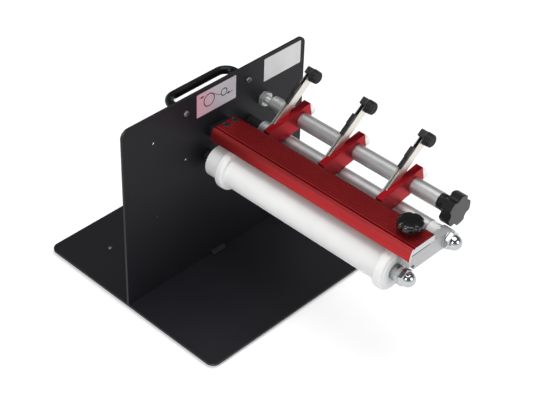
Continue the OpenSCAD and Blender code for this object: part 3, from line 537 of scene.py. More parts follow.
# %% [markdown]
# ## Finishes on the solids
#
# Four solids already have the right shape: the two labels and the studs inside the knobs. They only take a
# finish. Every other solid gets a dressed piece further down.

# %% Paint the solids
PAINT = {PATH_FILM: ["path_label"], PLAIN_FILM: ["notice_label"], ZINC: ["rod_knob_stud", "rail_knob_stud"]}
for finish, names in PAINT.items():
    for name in names:
        slots = frame["nodes"][name].data.materials
        slots.clear()
        slots.append(finish)
print("painted solids:", sum(map(len, PAINT.values())))

# %% [markdown]
# ## Tools for modelling
#
# An operator acts on all that is selected, so each step first clears the selection and then picks what it
# needs. `settle` ends every piece the same way: its place goes into its mesh, its smooth shading stops at
# sharp edges, and it rides on the body of the solid that it stands for.

# %% Pick, copy, carve and settle


def pick(*pieces):
    bpy.ops.object.select_all(action="DESELECT")
    for piece in pieces:
        piece.select_set(True)
    bpy.context.view_layer.objects.active = pieces[0]


def mode(name):
    bpy.ops.object.mode_set(mode=name)


def copy_of(piece):
    pick(piece)
    bpy.ops.object.duplicate()
    return bpy.context.object


def joined(*pieces):
    pick(*pieces)
    bpy.ops.object.join()
    return pieces[0]


def block(middle, size):
    """A box of a size in millimetres about a point in millimetres."""
    bpy.ops.object.select_all(action="DESELECT")
    bpy.ops.mesh.primitive_cube_add(size=MM, location=Vector(middle) * MM)
    box = bpy.context.object
    box.scale = size
    bpy.ops.object.transform_apply(location=True, rotation=True, scale=True)
    return box


def choose_corners(test):
    """In edit mode, select the corners that pass a test."""
    bpy.ops.mesh.select_mode(type="VERT")
    bpy.ops.mesh.select_all(action="DESELECT")
    shape = bmesh.from_edit_mesh(bpy.context.object.data)
    for corner in shape.verts:
        corner.select_set(test(corner))
    shape.select_flush_mode()
    bmesh.update_edit_mesh(bpy.context.object.data)


def modify(piece, kind, **settings):
    pick(piece)
    change = piece.modifiers.new(kind.lower(), kind)
    for name, value in settings.items():
        setattr(change, name, value)
    bpy.ops.object.modifier_apply(modifier=change.name)


def carve(piece, tool, operation="DIFFERENCE"):
    modify(piece, "BOOLEAN", operation=operation, object=tool, solver="EXACT")
    bpy.data.objects.remove(tool)


def settle(piece, name, finish, *nodes, smooth=35):
    pick(piece)
    bpy.ops.object.transform_apply(location=True, rotation=True, scale=True)
    bpy.ops.object.shade_smooth_by_angle(angle=math.radians(smooth))
    piece.name = piece.data.name = name
    piece.data.materials.clear()
    piece.data.materials.append(finish)
    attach(piece, frame["nodes"][nodes[0]]["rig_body"])
    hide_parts(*nodes)
    print(name, "has", len(piece.data.polygons), "faces")
    return piece


# %% [markdown]
# ## Soft edges on sheet, bar and extrusion
#
# Sheared sheet and sawn bar never have razor edges, and a small round catches the light along every edge.
# The plates, the rail, the arms and the sleeves already have their exact outline as solids, so a copy of
# each is merged, cleaned of the triangles on its flats, and bevelled where two faces meet at an angle. The
# weighted normals then let the large flats win over the narrow bevels, so that the flats shade flat.

# %% Soften copies of the solids


def soften(name, width, finish, segments=2, angle=30):
    piece = copy_of(frame["nodes"][name])
    del piece["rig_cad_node"]
    mode("EDIT")
    bpy.ops.mesh.select_all(action="SELECT")
    bpy.ops.mesh.remove_doubles(threshold=0.001 * MM)
    bpy.ops.mesh.dissolve_limited(angle_limit=math.radians(0.5))
    mode("OBJECT")
    modify(
        piece, "BEVEL", width=width * MM, segments=segments, limit_method="ANGLE",
        angle_limit=math.radians(angle), miter_outer="MITER_ARC",
    )
    settle(piece, name + "_soft", finish, name)
    modify(piece, "WEIGHTED_NORMAL", keep_sharp=True)
    return piece


for name, width, finish in (
    ("base_plate", 0.5, BLACK_COAT), ("upright_plate", 0.5, BLACK_COAT), ("angle_strip", 0.5, BLACK_COAT),
    ("base_lug", 0.6, PLAIN_COAT), ("rail_block", 0.6, BLACK_COAT), ("rail", 0.14, RAIL_RED),
    ("end_bar", 0.5, BRIGHT_BAR), ("knife_rod", 0.7, SATIN), ("guide_tube", 0.35, SATIN),
    ("roller_collar", 0.5, STEEL), ("guide_bushes", 0.4, ROLLER_WHITE),
):
    soften(name, width, finish)
for i in (1, 2, 3):
    soften(f"knife_arm_{i}", 0.45, ARM_RED)
    soften(f"cutter_slider_{i}", 0.25, MOULDED)
    soften(f"cutter_blade_{i}", 0.1, BLADE, segments=1)

# %% [markdown]
# ## A lathe
#
# Half of this machine is turned: the roller, the washers, the dome nuts, the feet. The lathe here works as a
# real one does. One corner is extruded along the profile, and the profile is spun about Z. With six steps
# the same lathe gives hexagon bar.

# %% Lathe and copies


def draw(corners):
    """In a new plane, shrink everything to one corner and extrude it along a row of points."""
    mode("EDIT")
    bpy.ops.mesh.select_mode(type="VERT")
    bpy.ops.mesh.select_all(action="SELECT")
    bpy.ops.mesh.merge(type="CENTER")
    bpy.ops.transform.translate(value=corners[0])
    for start, end in zip(corners, corners[1:]):
        bpy.ops.mesh.extrude_vertices_move(TRANSFORM_OT_translate={"value": end - start})


def lathe(profile, steps=48):
    """Turn (height, radius) points in millimetres about the Z axis."""
    bpy.ops.object.select_all(action="DESELECT")
    bpy.ops.mesh.primitive_plane_add(size=MM)
    piece = bpy.context.object
    draw([Vector((radius, 0, height)) * MM for height, radius in profile])
    bpy.ops.mesh.select_all(action="SELECT")
    bpy.ops.mesh.spin(steps=steps, angle=math.tau, center=(0, 0, 0), axis=(0, 0, 1))
    bpy.ops.mesh.select_all(action="SELECT")
    bpy.ops.mesh.remove_doubles(threshold=0.001 * MM)
    bpy.ops.mesh.normals_make_consistent(inside=False)
    mode("OBJECT")
    return piece


def bend(height, radius, size, start, end, count=6):
    """Points of a round corner: an arc about (height, radius), with angles from the lathe's axis."""
    turns = [math.radians(start + (end - start) * k / count) for k in range(count + 1)]
    return [(height + size * math.cos(a), radius + size * math.sin(a)) for a in turns]


ALONG_X = (0, math.pi / 2, 0)


def repeat(piece, places, turn=(0, 0, 0)):
    """Join copies of a shape at several places, in metres, into one mesh."""
    copies = [copy_of(piece) for _ in places]
    for copy, place in zip(copies, places):
        copy.location, copy.rotation_euler = place, turn
    bpy.data.objects.remove(piece)
    pick(*copies)
    bpy.ops.object.transform_apply(location=True, rotation=True, scale=True)
    if len(copies) > 1:
        bpy.ops.object.join()
    return bpy.context.object


def centre(name):
    low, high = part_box(name)
    return (low + high) / 2


def reach(name, axis):
    """Lowest and highest coordinate of a solid along an axis, in millimetres."""
    low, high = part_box(name)
    return low[axis] / MM, high[axis] / MM


def half_width(name, axis):
    low, high = reach(name, axis)
    return (high - low) / 2


SHAFTS = [centre("rod_stud"), centre("guide_axle"), centre("roller_axle")]
print("shaft axes (y, z):", [(round(s.y / MM, 1), round(s.z / MM, 1)) for s in SHAFTS])

# %% [markdown]
# ## The white roller
#
# The roller is one turned length of white plastic with two raised rims that keep the web in line. The solids
# have the tube and the rims apart. Here one profile runs over both, so that each rim flows into the tube
# with a small hollow at its foot.

# %% Turn the roller
ROLLER_START, ROLLER_END = reach("web_roller", 0)
ROLLER_R, RIM_R, BORE_R = (half_width(name, 2) for name in ("web_roller", "roller_rims", "roller_bushes"))
RIM_STARTS, RIM_W, RIM_ROUND, RIM_FOOT, END_EDGE = (18.5, 250.0), 12.0, 3.5, 1.0, 0.8


def rim(start):
    """Profile over one rim: a hollow, a round shoulder, and the same back down."""
    end, top = start + RIM_W, RIM_R - RIM_ROUND
    return (
        [(start - RIM_FOOT, ROLLER_R), (start - 0.3 * RIM_FOOT, ROLLER_R + 0.3 * RIM_FOOT)]
        + bend(start + RIM_ROUND, top, RIM_ROUND, 180, 90)
        + bend(end - RIM_ROUND, top, RIM_ROUND, 90, 0)
        + [(end + 0.3 * RIM_FOOT, ROLLER_R + 0.3 * RIM_FOOT), (end + RIM_FOOT, ROLLER_R)]
    )


length = ROLLER_END - ROLLER_START
profile = [
    (0, BORE_R), *bend(END_EDGE, ROLLER_R - END_EDGE, END_EDGE, 180, 90, 3),
    *rim(RIM_STARTS[0]), *rim(RIM_STARTS[1])[:-2], (length - 0.9, ROLLER_R),
    *bend(length - END_EDGE, ROLLER_R - END_EDGE, END_EDGE, 90, 0, 3), (length, BORE_R), (0, BORE_R),
]
roller = repeat(lathe(profile, 96), [(ROLLER_START * MM, SHAFTS[2].y, SHAFTS[2].z)], ALONG_X)
settle(roller, "turned_roller", ROLLER_WHITE, "web_roller", "roller_rims")

# %% [markdown]
# ## Bushes in the roller's ends
#
# A plastic bush closes each end of the roller and runs on the axle. It sits a little below the roller's end
# face, with a chamfer round its bore.

# %% Turn the bushes
BUSH_LEN, STUD_R, BUSH_IN, BUSH_EDGE, BUSH_FIT = 16.0, 6.0, 0.4, 1.2, 0.05
bush = lathe([
    (BUSH_IN, BORE_R), (BUSH_IN, STUD_R + BUSH_EDGE), (BUSH_EDGE, STUD_R + BUSH_FIT),
    (BUSH_LEN - BUSH_EDGE, STUD_R + BUSH_FIT), (BUSH_LEN - BUSH_IN, STUD_R + BUSH_EDGE),
    (BUSH_LEN - BUSH_IN, BORE_R), (BUSH_IN, BORE_R),
])
bush_places = [(x * MM, SHAFTS[2].y, SHAFTS[2].z) for x in (ROLLER_START, ROLLER_END - BUSH_LEN)]
settle(repeat(bush, bush_places, ALONG_X), "turned_bushes", ROLLER_WHITE, "roller_bushes")

# %% [markdown]
# ## Washers
#
# Pressed washers have a rounded top edge and a sharp lower one. Behind the upright sit two large ones and a
# small one for the rod's thinner stud; the end bar has a pair of its own, and the rail's knob one more.

# %% Turn the washers
PLATE = reach("upright_plate", 0)
WASHER_T, WASHER_R, WASHER_ROUND = 1.5, 11.0, 0.5
ROD_WASHER_R, ROD_STUD_R, KNOB_WASHER_BORE = 10.7, 5.0, 4.3


def washer(radius, thick, bore):
    edge = bend(thick - WASHER_ROUND, radius - WASHER_ROUND, WASHER_ROUND, 90, 0, 3)
    return lathe([(0, bore), (0, radius), *edge, (thick, bore), (0, bore)])


def behind(shafts, away):
    """Places behind the upright, with a face that far from it."""
    return [((PLATE[0] - away) * MM, s.y, s.z) for s in shafts]


# A washer's rounded side is its second one, and behind the upright it looks away, so it is turned over.
LOOK_BACK = (0, -math.pi / 2, 0)
large = repeat(washer(WASHER_R, WASHER_T, STUD_R), behind(SHAFTS[1:], 0), LOOK_BACK)
small = repeat(washer(ROD_WASHER_R, WASHER_T, ROD_STUD_R), behind(SHAFTS[:1], 0), LOOK_BACK)
settle(joined(large, small), "pressed_washers", ZINC, "shaft_washers")

low, high = reach("guide_washers", 0)
bar_spots = [(x * MM, SHAFTS[1].y, SHAFTS[1].z) for x in (low, high - WASHER_T)]
settle(repeat(washer(WASHER_R, WASHER_T, STUD_R), bar_spots, ALONG_X), "bar_washers", ZINC, "guide_washers")

knob_spot = (*centre("rail_washer").xy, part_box("rail_washer")[0].z)
knob_washer = repeat(washer(half_width("rail_washer", 0), WASHER_T, KNOB_WASHER_BORE), [knob_spot])
settle(knob_washer, "knob_washer", BLACK_SCREW, "rail_washer")

# %% [markdown]
# ## Nuts
#
# A hexagon nut starts as hexagon bar, and its corners are turned off at thirty degrees. That cut leaves the
# curved edges that make a nut look like a nut. A Boolean with a turned blank does the same thing. A dome
# nut is the same bar with a longer blank.

# %% Cut the nuts from hexagon bar
FLAT_R = half_width("roller_jam_nut", 1)
CUT_ANGLE, FACE_SHARE = math.radians(30), 0.97


def corner_radius(flat):
    return flat / math.cos(math.pi / 6)


def turned_corner(flat):
    """How far along a hexagon bar the turned cut reaches, and a radius just past its corners."""
    wide = corner_radius(flat)
    return (wide - flat * FACE_SHARE) * math.tan(CUT_ANGLE), wide + 0.05


def from_hexagon(flat, height, blank):
    wide = corner_radius(flat)
    bar = lathe([(-1, 0), (-1, wide), (height + 1, wide), (height + 1, 0)], 6)
    carve(bar, lathe(blank, 72), "INTERSECT")
    return bar


def nut(flat, thick, bore):
    cut, wide = turned_corner(flat)
    face = flat * FACE_SHARE
    return from_hexagon(flat, thick, [
        (0, bore), (0, face), (cut, wide), (thick - cut, wide), (thick, face), (thick, bore), (0, bore),
    ])


NUT_T, ROD_NUT_FLAT, ROD_NUT_T = 6.5, 8.25, 6.0
large = repeat(nut(FLAT_R, NUT_T, STUD_R), behind(SHAFTS[1:], WASHER_T + NUT_T), ALONG_X)
rod_spots = behind(SHAFTS[:1], WASHER_T + ROD_NUT_T) + behind(SHAFTS[:1], PLATE[0] - PLATE[1])
small = repeat(nut(ROD_NUT_FLAT, ROD_NUT_T, ROD_STUD_R), rod_spots, ALONG_X)
settle(joined(large, small), "cut_nuts", ZINC, "shaft_nuts")
low, high = reach("roller_jam_nut", 0)
jam_place = [(low * MM, SHAFTS[2].y, SHAFTS[2].z)]
settle(repeat(nut(FLAT_R, high - low, STUD_R), jam_place, ALONG_X), "cut_jam_nut", ZINC, "roller_jam_nut")

# %% Dome nuts
DOME_HEX, DOME_R = 5.2, 8.51
for name, shaft in (("guide_dome_nut", SHAFTS[1]), ("roller_dome_nut", SHAFTS[2])):
    low, high = reach(name, 0)
    tall = high - low
    cut, wide = turned_corner(FLAT_R)
    face = FLAT_R * FACE_SHARE
    blank = [(0, 0), (0, face), (cut, wide), (DOME_HEX - cut, wide), (DOME_HEX, face)]
    blank += [(DOME_HEX + 0.3, DOME_R), *bend(tall - DOME_R, 0, DOME_R, 90, 0, 12)]
    dome = repeat(from_hexagon(FLAT_R, tall, blank), [(low * MM, shaft.y, shaft.z)], ALONG_X)
    settle(dome, name + "_turned", CHROME, name, smooth=25)

# %% [markdown]
# ## Threaded ends
#
# Each shaft ends in a few turns of thread behind the upright, and the rod's thinner stud also shows its
# thread in front, between its nut and the rod. A true helix would not show at this size, so the lathe's
# profile zigzags at the thread's pitch instead, and the end gets its chamfer.

# %% Turn the studs
THREAD_DEPTH, THREAD_CHAMFER = 0.31, 0.9


def thread(start, end, radius, pitch):
    turns = int((end - start) / pitch)
    return [
        point for k in range(turns)
        for point in ((start + k * pitch, radius), (start + (k + 0.5) * pitch, radius - THREAD_DEPTH * pitch))
    ]


for name, radius, pitch, end in (
    ("rod_stud", ROD_STUD_R, 1.5, 30), ("guide_axle", STUD_R, 1.75, 6), ("roller_axle", STUD_R, 1.75, 6)
):
    low, high = reach(name, 0)
    turns = thread(THREAD_CHAMFER, end, radius, pitch)
    profile = [(0, 0), (0, radius - THREAD_CHAMFER), *turns, (end + 0.2, radius)]
    profile += [(high - low, radius), (high - low, 0)]
    place = [(low * MM, centre(name).y, centre(name).z)]
    settle(repeat(lathe(profile, 32), place, ALONG_X), name + "_threaded", ZINC, name)
for name in ("guide_spacer", "roller_spacer"):
    soften(name, 0.4, BLACK_SCREW)

# %% [markdown]
# ## Rubber feet and the rivet
#
# The feet are moulded cones with a rounded lower rim and a hole for their screw. The rivet behind the upright
# has a low dome. Both are short lathe profiles.

# %% Turn the feet and the rivet
FOOT_R, FOOT_H, FOOT_TAPER, FOOT_ROUND = 9.0, 3.0, 0.88, 0.8
foot_flat = FOOT_R * FOOT_TAPER - FOOT_ROUND
foot = lathe([
    (0.8, 0), (0.8, 3.2), (0, 3.6), (0, foot_flat), *bend(FOOT_ROUND, foot_flat, FOOT_ROUND, 180, 100, 3),
    (FOOT_H, FOOT_R), (FOOT_H, 0),
])
low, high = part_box("rubber_feet")
foot_xs, foot_ys = ((low[k] + FOOT_R * MM, high[k] - FOOT_R * MM) for k in (0, 1))
foot_spots = [(x, y, 0) for x in foot_xs for y in foot_ys]
settle(repeat(foot, foot_spots), "moulded_feet", RUBBER, "rubber_feet")

low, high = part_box("base_rivet")
RIVET_R, RIVET_H, RIVET_SHANK_R = half_width("base_rivet", 0), (high.z - low.z) / MM, 1.5
head = RIVET_H - 1.25
rivet = lathe([
    (0, 0), (0, RIVET_SHANK_R), (head, RIVET_SHANK_R), (head, RIVET_R), (head + 0.45, RIVET_R * 0.93),
    (head + 0.95, RIVET_R * 0.65), (head + 1.2, RIVET_R * 0.3), (RIVET_H, 0),
])
settle(repeat(rivet, [(*centre("base_rivet").xy, low.z)]), "domed_rivet", DULL_ZINC, "base_rivet")

# %% [markdown]
# ## Screw heads
#
# Two pan-head screws hold the carry handle through the upright. The head is turned with a rounded crown, and
# two thin blocks cut its cross. The black screws in the rail and behind it come from their solids.

# %% Pan-head screws
HEAD_R, HEAD_T, SHANK_R, CROWN = 3.7, 2.4, 2.5, 1.8
CROSS_SIZE, CROSS_TURNS = (5.2, 1.0, 2.6), (20, 110)
SHANK = PLATE[1] - reach("handle_screws", 0)[0]
screw = lathe([
    (-SHANK, 0), (-SHANK, SHANK_R), (0, SHANK_R), (0, HEAD_R), (0.7, HEAD_R),
    *bend(HEAD_T - CROWN, HEAD_R - CROWN, CROWN, 80, 10, 5), (HEAD_T, HEAD_R - 2.4), (HEAD_T, 0),
])
for turn in CROSS_TURNS:
    slot = block((0, 0, HEAD_T), CROSS_SIZE)
    slot.rotation_euler.z = math.radians(turn)
    carve(screw, slot)
low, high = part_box("handle_screws")
half = (high.z - low.z) / 2
spots = [(PLATE[1] * MM, y, low.z + half) for y in (low.y + half, high.y - half)]
settle(repeat(screw, spots, ALONG_X), "pan_screws", DULL_ZINC, "handle_screws")
soften("rail_screws", 0.25, BLACK_SCREW)
soften("block_screws", 0.8, BLACK_SCREW, segments=3)
soften("angle_screws", 0.8, ZINC, segments=3)

# %% [markdown]
# ## Carry handle
#
# The handle is a round bar bent twice. It starts as a disc on the upright: extrude a leg, spin a quarter
# turn, extrude the grip, spin again, extrude the second leg.

# %% Bend the handle
low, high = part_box("carry_handle")
BAR_R, BEND_R, BAR_SIDES = 5.0, 14.0, 28
GRIP_X, LEG_Y, HANDLE_Z = low.x / MM + BAR_R, high.y / MM - BAR_R, (low.z + high.z) / 2 / MM
bpy.ops.object.select_all(action="DESELECT")
bpy.ops.mesh.primitive_circle_add(
    vertices=BAR_SIDES, radius=BAR_R * MM, fill_type="NGON",
    location=Vector((PLATE[0], -LEG_Y, HANDLE_Z)) * MM, rotation=ALONG_X,
)
handle = bpy.context.object
bpy.ops.object.transform_apply(location=True, rotation=True)
mode("EDIT")


def run(x, y):
    bpy.ops.mesh.extrude_region_move(TRANSFORM_OT_translate={"value": Vector((x, y, 0)) * MM})


def quarter(y):
    spot = Vector((GRIP_X + BEND_R, y, HANDLE_Z)) * MM
    bpy.ops.mesh.spin(steps=10, angle=math.pi / 2, center=spot, axis=(0, 0, 1))


run(GRIP_X + BEND_R - PLATE[0], 0)
quarter(-LEG_Y + BEND_R)
run(0, 2 * (LEG_Y - BEND_R))
quarter(LEG_Y - BEND_R)
run(PLATE[0] - GRIP_X - BEND_R, 0)
bpy.ops.mesh.select_all(action="SELECT")
bpy.ops.mesh.remove_doubles(threshold=0.001 * MM)
bpy.ops.mesh.normals_make_consistent(inside=False)
mode("OBJECT")
settle(handle, "bent_handle", GRIP, "carry_handle")

# %% [markdown]
# ## Five-lobed knobs
#
# Two moulded knobs have five lobes each. A round blank with five round hollows gives the outline, and a soft
# minimum of the two rounds the corners between them, as a mould needs. The outline is drawn as a row of
# points, filled, and raised ring by ring: each ring is extruded and scaled, so that the rims come out round.

# %% Raise a lobed outline ring by ring
LOBES, STEEP = 5, 60
LOBE_TURN = 360 / LOBES


def lobed_radius(turn, radius, dip, deep, soft):
    """Distance from the axis to the outline, at an angle from the middle of the nearest hollow."""
    far = radius + dip - deep
    room = dip * dip - (far * math.sin(turn)) ** 2
    if room > 0:
        hollow = far * math.cos(turn) - math.sqrt(room)
    else:
        hollow = math.sqrt(far * far - dip * dip) + STEEP * (abs(turn) - math.asin(dip / far))
    return -soft * math.log(math.exp(-radius / soft) + math.exp(-hollow / soft))


def rims(low, high, radius, lower, upper, count=5):
    """Rings (height, scale) up a side wall with a round rim at each end."""
    turns = [math.pi / 2 * k / count for k in range(count + 1)]
    rings = [(low + lower * (1 - math.cos(t)), 1 - lower * (1 - math.sin(t)) / radius) for t in turns]
    return rings + [(high - upper * (1 - math.sin(t)), 1 - upper * (1 - math.cos(t)) / radius) for t in turns]


def lobed(radius, dip, deep, soft, first, rings):
    bpy.ops.object.select_all(action="DESELECT")
    bpy.ops.mesh.primitive_plane_add(size=MM)
    piece = bpy.context.object
    height, scale = rings[0]
    corners = []
    for degrees in range(0, 360, 2):
        nearest = math.radians((degrees - first + LOBE_TURN / 2) % LOBE_TURN - LOBE_TURN / 2)
        out, turn = scale * lobed_radius(nearest, radius, dip, deep, soft), math.radians(degrees)
        corners.append(Vector((out * math.cos(turn), out * math.sin(turn), height)) * MM)
    draw(corners)
    bpy.ops.mesh.select_all(action="SELECT")
    bpy.ops.mesh.edge_face_add()
    bpy.ops.mesh.select_mode(type="FACE")
    for (low, before), (high, after) in zip(rings, rings[1:]):
        bpy.ops.mesh.extrude_region_move(TRANSFORM_OT_translate={"value": (0, 0, (high - low) * MM)})
        grow = after / before
        bpy.ops.transform.resize(value=(grow, grow, 1), center_override=(0, 0, 0))
    bpy.ops.mesh.select_all(action="SELECT")
    bpy.ops.mesh.remove_doubles(threshold=0.001 * MM)
    bpy.ops.mesh.normals_make_consistent(inside=False)
    mode("OBJECT")
    return piece


print("lobes:", LOBES, "one every", LOBE_TURN, "degrees")

# %% [markdown]
# ## Knob on the rail
#
# The rail's knob is glossy, with a deep round rim and a low crown. A plain round hub carries it on its
# washer.

# %% Model the rail knob
KNOB_LOW, KNOB_HIGH = reach("rail_knob", 2)
KNOB_R, KNOB_DIP, KNOB_DEEP, KNOB_SOFT, KNOB_FIRST = 14.5, 3.5, 1.3, 0.6, 46
KNOB_H, HUB_H, HUB_R = KNOB_HIGH - KNOB_LOW, 4.4, 8.0
crown = [(KNOB_H - 0.3, 0.6), (KNOB_H - 0.1, 0.4), (KNOB_H, 0.2)]
side = rims(HUB_H, KNOB_H - 0.6, KNOB_R, 1.0, 3.0, 8)
knob = lobed(KNOB_R, KNOB_DIP, KNOB_DEEP, KNOB_SOFT, KNOB_FIRST, side + crown)
hub = lathe([(0, 0), (0, HUB_R - 0.4), (0.4, HUB_R), (HUB_H + 1, HUB_R), (HUB_H + 1, 0)])
joined(knob, hub)
knob.location = (*centre("rail_knob_stud").xy, KNOB_LOW * MM)
settle(knob, "rail_lobed_knob", GLOSSY, "rail_knob", smooth=50)
modify(knob, "WEIGHTED_NORMAL", keep_sharp=True)

# %% [markdown]
# ## Knob on the rod
#
# The rod's knob has a flat front and tight rims. A round collar meets the rod, and a ribbed neck runs from it
# to the lobes. The ribs are thin round rods set into the neck, one below each lobe.

# %% Model the rod knob
STAR_R, STAR_DIP, STAR_SOFT, STAR_FIRST = 18.5, 6.5, 0.35, 122.0
COLLAR_R, COLLAR_ROUND, NECK_LEN, RIB_R = 9.25, 0.5, 11.5, 0.9
star_start, star_end = reach("rod_knob", 0)
side = rims(NECK_LEN, star_end - star_start, STAR_R, 0.8, 0.9)
star = lobed(STAR_R, STAR_DIP, 0.55 * STAR_DIP, STAR_SOFT, STAR_FIRST, side)
neck_r = COLLAR_R - COLLAR_ROUND
collar = lathe([
    (0, 0), (0, neck_r), *bend(COLLAR_ROUND, neck_r, COLLAR_ROUND, 180, 90, 3), (5.2, COLLAR_R),
    (5.6, neck_r), (NECK_LEN + 3, neck_r), (NECK_LEN + 3, 0),
])
rib_blank = lathe([(5, 0), (5, RIB_R), (NECK_LEN + 2, RIB_R), (NECK_LEN + 2, 0)], 16)
rib_turns = [math.radians(STAR_FIRST + LOBE_TURN * (k + 0.5)) for k in range(LOBES)]
ribs = repeat(rib_blank, [Vector((math.cos(t), math.sin(t), 0)) * (COLLAR_R - 0.6) * MM for t in rib_turns])
joined(star, collar, ribs)
star.location, star.rotation_euler = (star_start * MM, SHAFTS[0].y, SHAFTS[0].z), ALONG_X
settle(star, "rod_star_knob", KNOB_LIT_FRONT, "rod_knob")
modify(star, "WEIGHTED_NORMAL", keep_sharp=True)

# %% [markdown]
# ## Knife caps
#
# A cap closes the upper end of each sleeve: a plain block over the sleeve, and beside it a drum with three
# ring grooves that is gripped to slide the knife. The block is a bevelled cube, the drum is turned, and one
# cap is modelled and copied to the three knives.

# %% Model the cap
CUTTER_Y, CUTTER_Z = 46.56, 205.27
CAP_LOW, CAP_HIGH = Vector((-5.3, 56.5, -5.95)), Vector((3.6, 65.4, 7.55))
DRUM_R, DRUM_LEN, DRUM_SPOT, END_ROUND = 7.75, 8.5, Vector((3.6, 59.25, 0.8)), 2.6
GROOVES, GROOVE, GROOVE_STEP, TAPER = 3, 0.73, 1.85, 0.15
cap = block((CAP_LOW + CAP_HIGH) / 2, CAP_HIGH - CAP_LOW)
modify(cap, "BEVEL", width=1.1 * MM, segments=4)
ring = DRUM_LEN / 7
profile = [(-1, 0), (-1, DRUM_R)]
for k in range(GROOVES):
    start, top = (GROOVE_STEP * k + 0.9) * ring, DRUM_R - TAPER * k
    end = start + ring
    profile += [(start - 0.2, top), (start + 0.05, top - 0.2), (start + 0.15, top - GROOVE)]
    profile += [(end - 0.15, top - GROOVE), (end - 0.05, top - TAPER - 0.2), (end + 0.2, top - TAPER)]
profile += [*bend(DRUM_LEN - END_ROUND, DRUM_R - 0.5 - END_ROUND, END_ROUND, 80, 0, 6), (DRUM_LEN, 0)]
drum = repeat(lathe(profile, 64), [DRUM_SPOT * MM], ALONG_X)
joined(cap, drum)


def set_on_cutter(piece, i):
    piece.location = (centre(f"cutter_sleeve_{i}").x, CUTTER_Y * MM, CUTTER_Z * MM)
    piece.rotation_euler = (CUTTER_TILT, 0, 0)


for i in (1, 2, 3):
    copy = copy_of(cap)
    set_on_cutter(copy, i)
    settle(copy, f"drum_cap_{i}", RIDGED, f"cutter_cap_{i}")
    modify(copy, "WEIGHTED_NORMAL", keep_sharp=True)
bpy.data.objects.remove(cap)

# %% [markdown]
# ## Folded lips on the sleeves
#
# Below the slider the sheet of a sleeve is folded in over the blade, so that only a narrow slot stays open.
# Each lip is a thin block along the sleeve, and the pair joins the softened copy of its sleeve.

# %% Add the lips
LIP_LOW, LIP_HIGH = Vector((0.45, -21.9, 5.3)), Vector((2.2, 16.4, 5.9))
lip_middle = (LIP_LOW + LIP_HIGH) / 2
for i in (1, 2, 3):
    sleeve = soften(f"cutter_sleeve_{i}", 0.12, STAINLESS)
    lips = [block((side * lip_middle.x, *lip_middle.yz), LIP_HIGH - LIP_LOW) for side in (-1, 1)]
    pair = joined(*lips)
    set_on_cutter(pair, i)
    pair.data.materials.append(STAINLESS)
    joined(sleeve, pair)
print("lips per sleeve:", len(lips))

# %% [markdown]
# ## Nylon thumbscrews
#
# Each arm is clamped by a milky thumbscrew with a knurled head and a coin slot. The head is turned with
# forty steps, every second row of corners is pulled in for the knurl, and a block cuts the slot. One screw
# is modelled and copied to the three arms.

# %% Model the thumbscrew
ARM_TILT, SCREW_UP, ARM_BACK = math.radians(8.5), 3.0, 14.0
SCREW_R, SCREW_H, NECK_R, NECK_START = 6.5, 6.0, 3.0, 9.7
KNURL, KNURL_IN, COIN_SLOT = 40, 0.94, (16, 1.5, 3.2)
thumb = lathe([
    (NECK_START, 0), (NECK_START, NECK_R - 0.4), (NECK_START + 0.4, NECK_R), (ARM_BACK, NECK_R),
    (ARM_BACK, SCREW_R - 0.6), (ARM_BACK + 0.5, SCREW_R), (ARM_BACK + SCREW_H - 0.6, SCREW_R),
    (ARM_BACK + SCREW_H, SCREW_R - 0.9), (ARM_BACK + SCREW_H, 0),
], KNURL)
pick(thumb)
mode("EDIT")
choose_corners(
    lambda v: v.co.xy.length > (SCREW_R - 0.1) * MM
    and round(math.atan2(v.co.y, v.co.x) / math.tau * KNURL) % 2 == 0
)
bpy.ops.transform.resize(value=(KNURL_IN, KNURL_IN, 1), center_override=(0, 0, 0))
mode("OBJECT")
carve(thumb, block((0, 0, ARM_BACK + SCREW_H), COIN_SLOT))
up = Vector((0, -math.sin(ARM_TILT), math.cos(ARM_TILT))) * SCREW_UP * MM
for i in (1, 2, 3):
    copy = copy_of(thumb)
    copy.location = Vector((centre(f"arm_screw_{i}").x, SHAFTS[0].y, SHAFTS[0].z)) + up
    copy.rotation_euler = (ARM_TILT - math.pi / 2, 0, 0)
    settle(copy, f"thumbscrew_{i}", NYLON, f"arm_screw_{i}")
bpy.data.objects.remove(thumb)

# %% [markdown]
# ## Floor, lights and sky
#
# The product stands on a pale sweep in soft studio light, and far from the lamps the sweep itself glows a
# little more. A large lamp overhead, a key lamp from the front and a weak fill from the right keep the
# shadows open. The sky is white where the camera sees it and along the horizon of a reflection, darker
# overhead in reflections, as a studio's ceiling is, and dimmer as a light, so the roller does not clip.

# %% Floor and sky


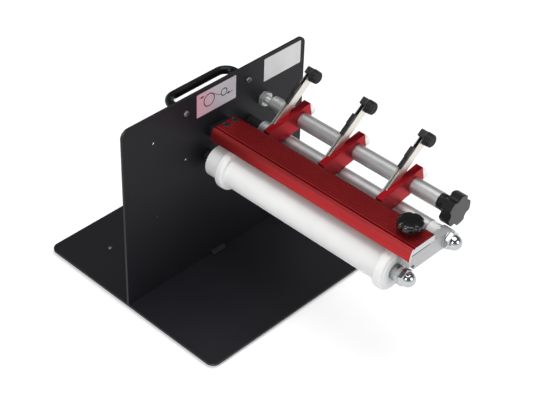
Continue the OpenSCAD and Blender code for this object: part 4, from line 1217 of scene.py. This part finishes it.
def seen_rays(tree):
    """Wires that are 1 for camera and transmission rays, and for glossy rays."""
    rays = Wire(tree).node("LightPath").socket.node.outputs
    seen, glossy, through = (Wire(tree, rays[f"Is {k} Ray"]) for k in ("Camera", "Glossy", "Transmission"))
    return seen.larger(through), glossy


FLOOR_SIZE, FLOOR_Z = 12, -0.0005
GLOW_NEAR, GLOW_MORE, GLOW_FROM, GLOW_TO = 0.3, 0.4, 500, 3000
bpy.ops.object.select_all(action="DESELECT")
bpy.ops.mesh.primitive_plane_add(size=FLOOR_SIZE, location=(0, 0, FLOOR_Z))
floor = bpy.context.object
floor.name = "floor"
paper = Finish("floor_paper", Base_Color=(0.82, 0.82, 0.82), Roughness=0.9, Emission_Strength=1.0)
direct, glossy = seen_rays(paper.tree)
x, y = paper.axes(paper.place())[:2]
away = paper.math("SQRT", x ** 2.0 + y ** 2.0).step(GLOW_FROM, GLOW_TO)
glow = (GLOW_NEAR + GLOW_MORE * away) * direct.larger(glossy)
paper.give(Emission_Color=glow.mix((0, 0, 0), (1, 1, 1)))
floor.data.materials.append(paper.material)

world = bpy.data.worlds.new("studio")
bpy.context.scene.world = world
world.use_nodes = True
sky = Wire(world.node_tree)
direct, glossy = seen_rays(sky.tree)
heading = sky.node("TexCoord", out="Generated")
rise = Wire(sky.tree, sky.node("SeparateXYZ", inputs={0: heading}).socket.node.outputs[2])
LIT, CEILING = 0.38, 0.86
dome = 1 - CEILING * rise.step(0.0, 0.45)
shade = LIT + direct * (1 - LIT) + glossy * (dome - LIT)
sky.plug(sky.tree.nodes["Background"].inputs["Color"], shade.mix((0, 0, 0), (1, 1, 1)))
bpy.context.scene.view_settings.view_transform = "Standard"
print("floor and sky ready")

# %% Lamps


def lamp(name, place, size, power, target=(0.08, 0, 0.12)):
    light = bpy.data.lights.new(name, "AREA")
    light.shape, light.size, light.energy = "DISK", size, power
    holder = bpy.data.objects.new(name, light)
    bpy.context.scene.collection.objects.link(holder)
    holder.location = place
    holder.rotation_euler = (Vector(target) - Vector(place)).to_track_quat("-Z", "Y").to_euler()


lamp("overhead", (0.1, 0.1, 1.6), 1.4, 14)
lamp("key", (0.3, -1.5, 1.1), 0.6, 12)
lamp("fill", (1.5, 0.2, 0.9), 0.9, 6)
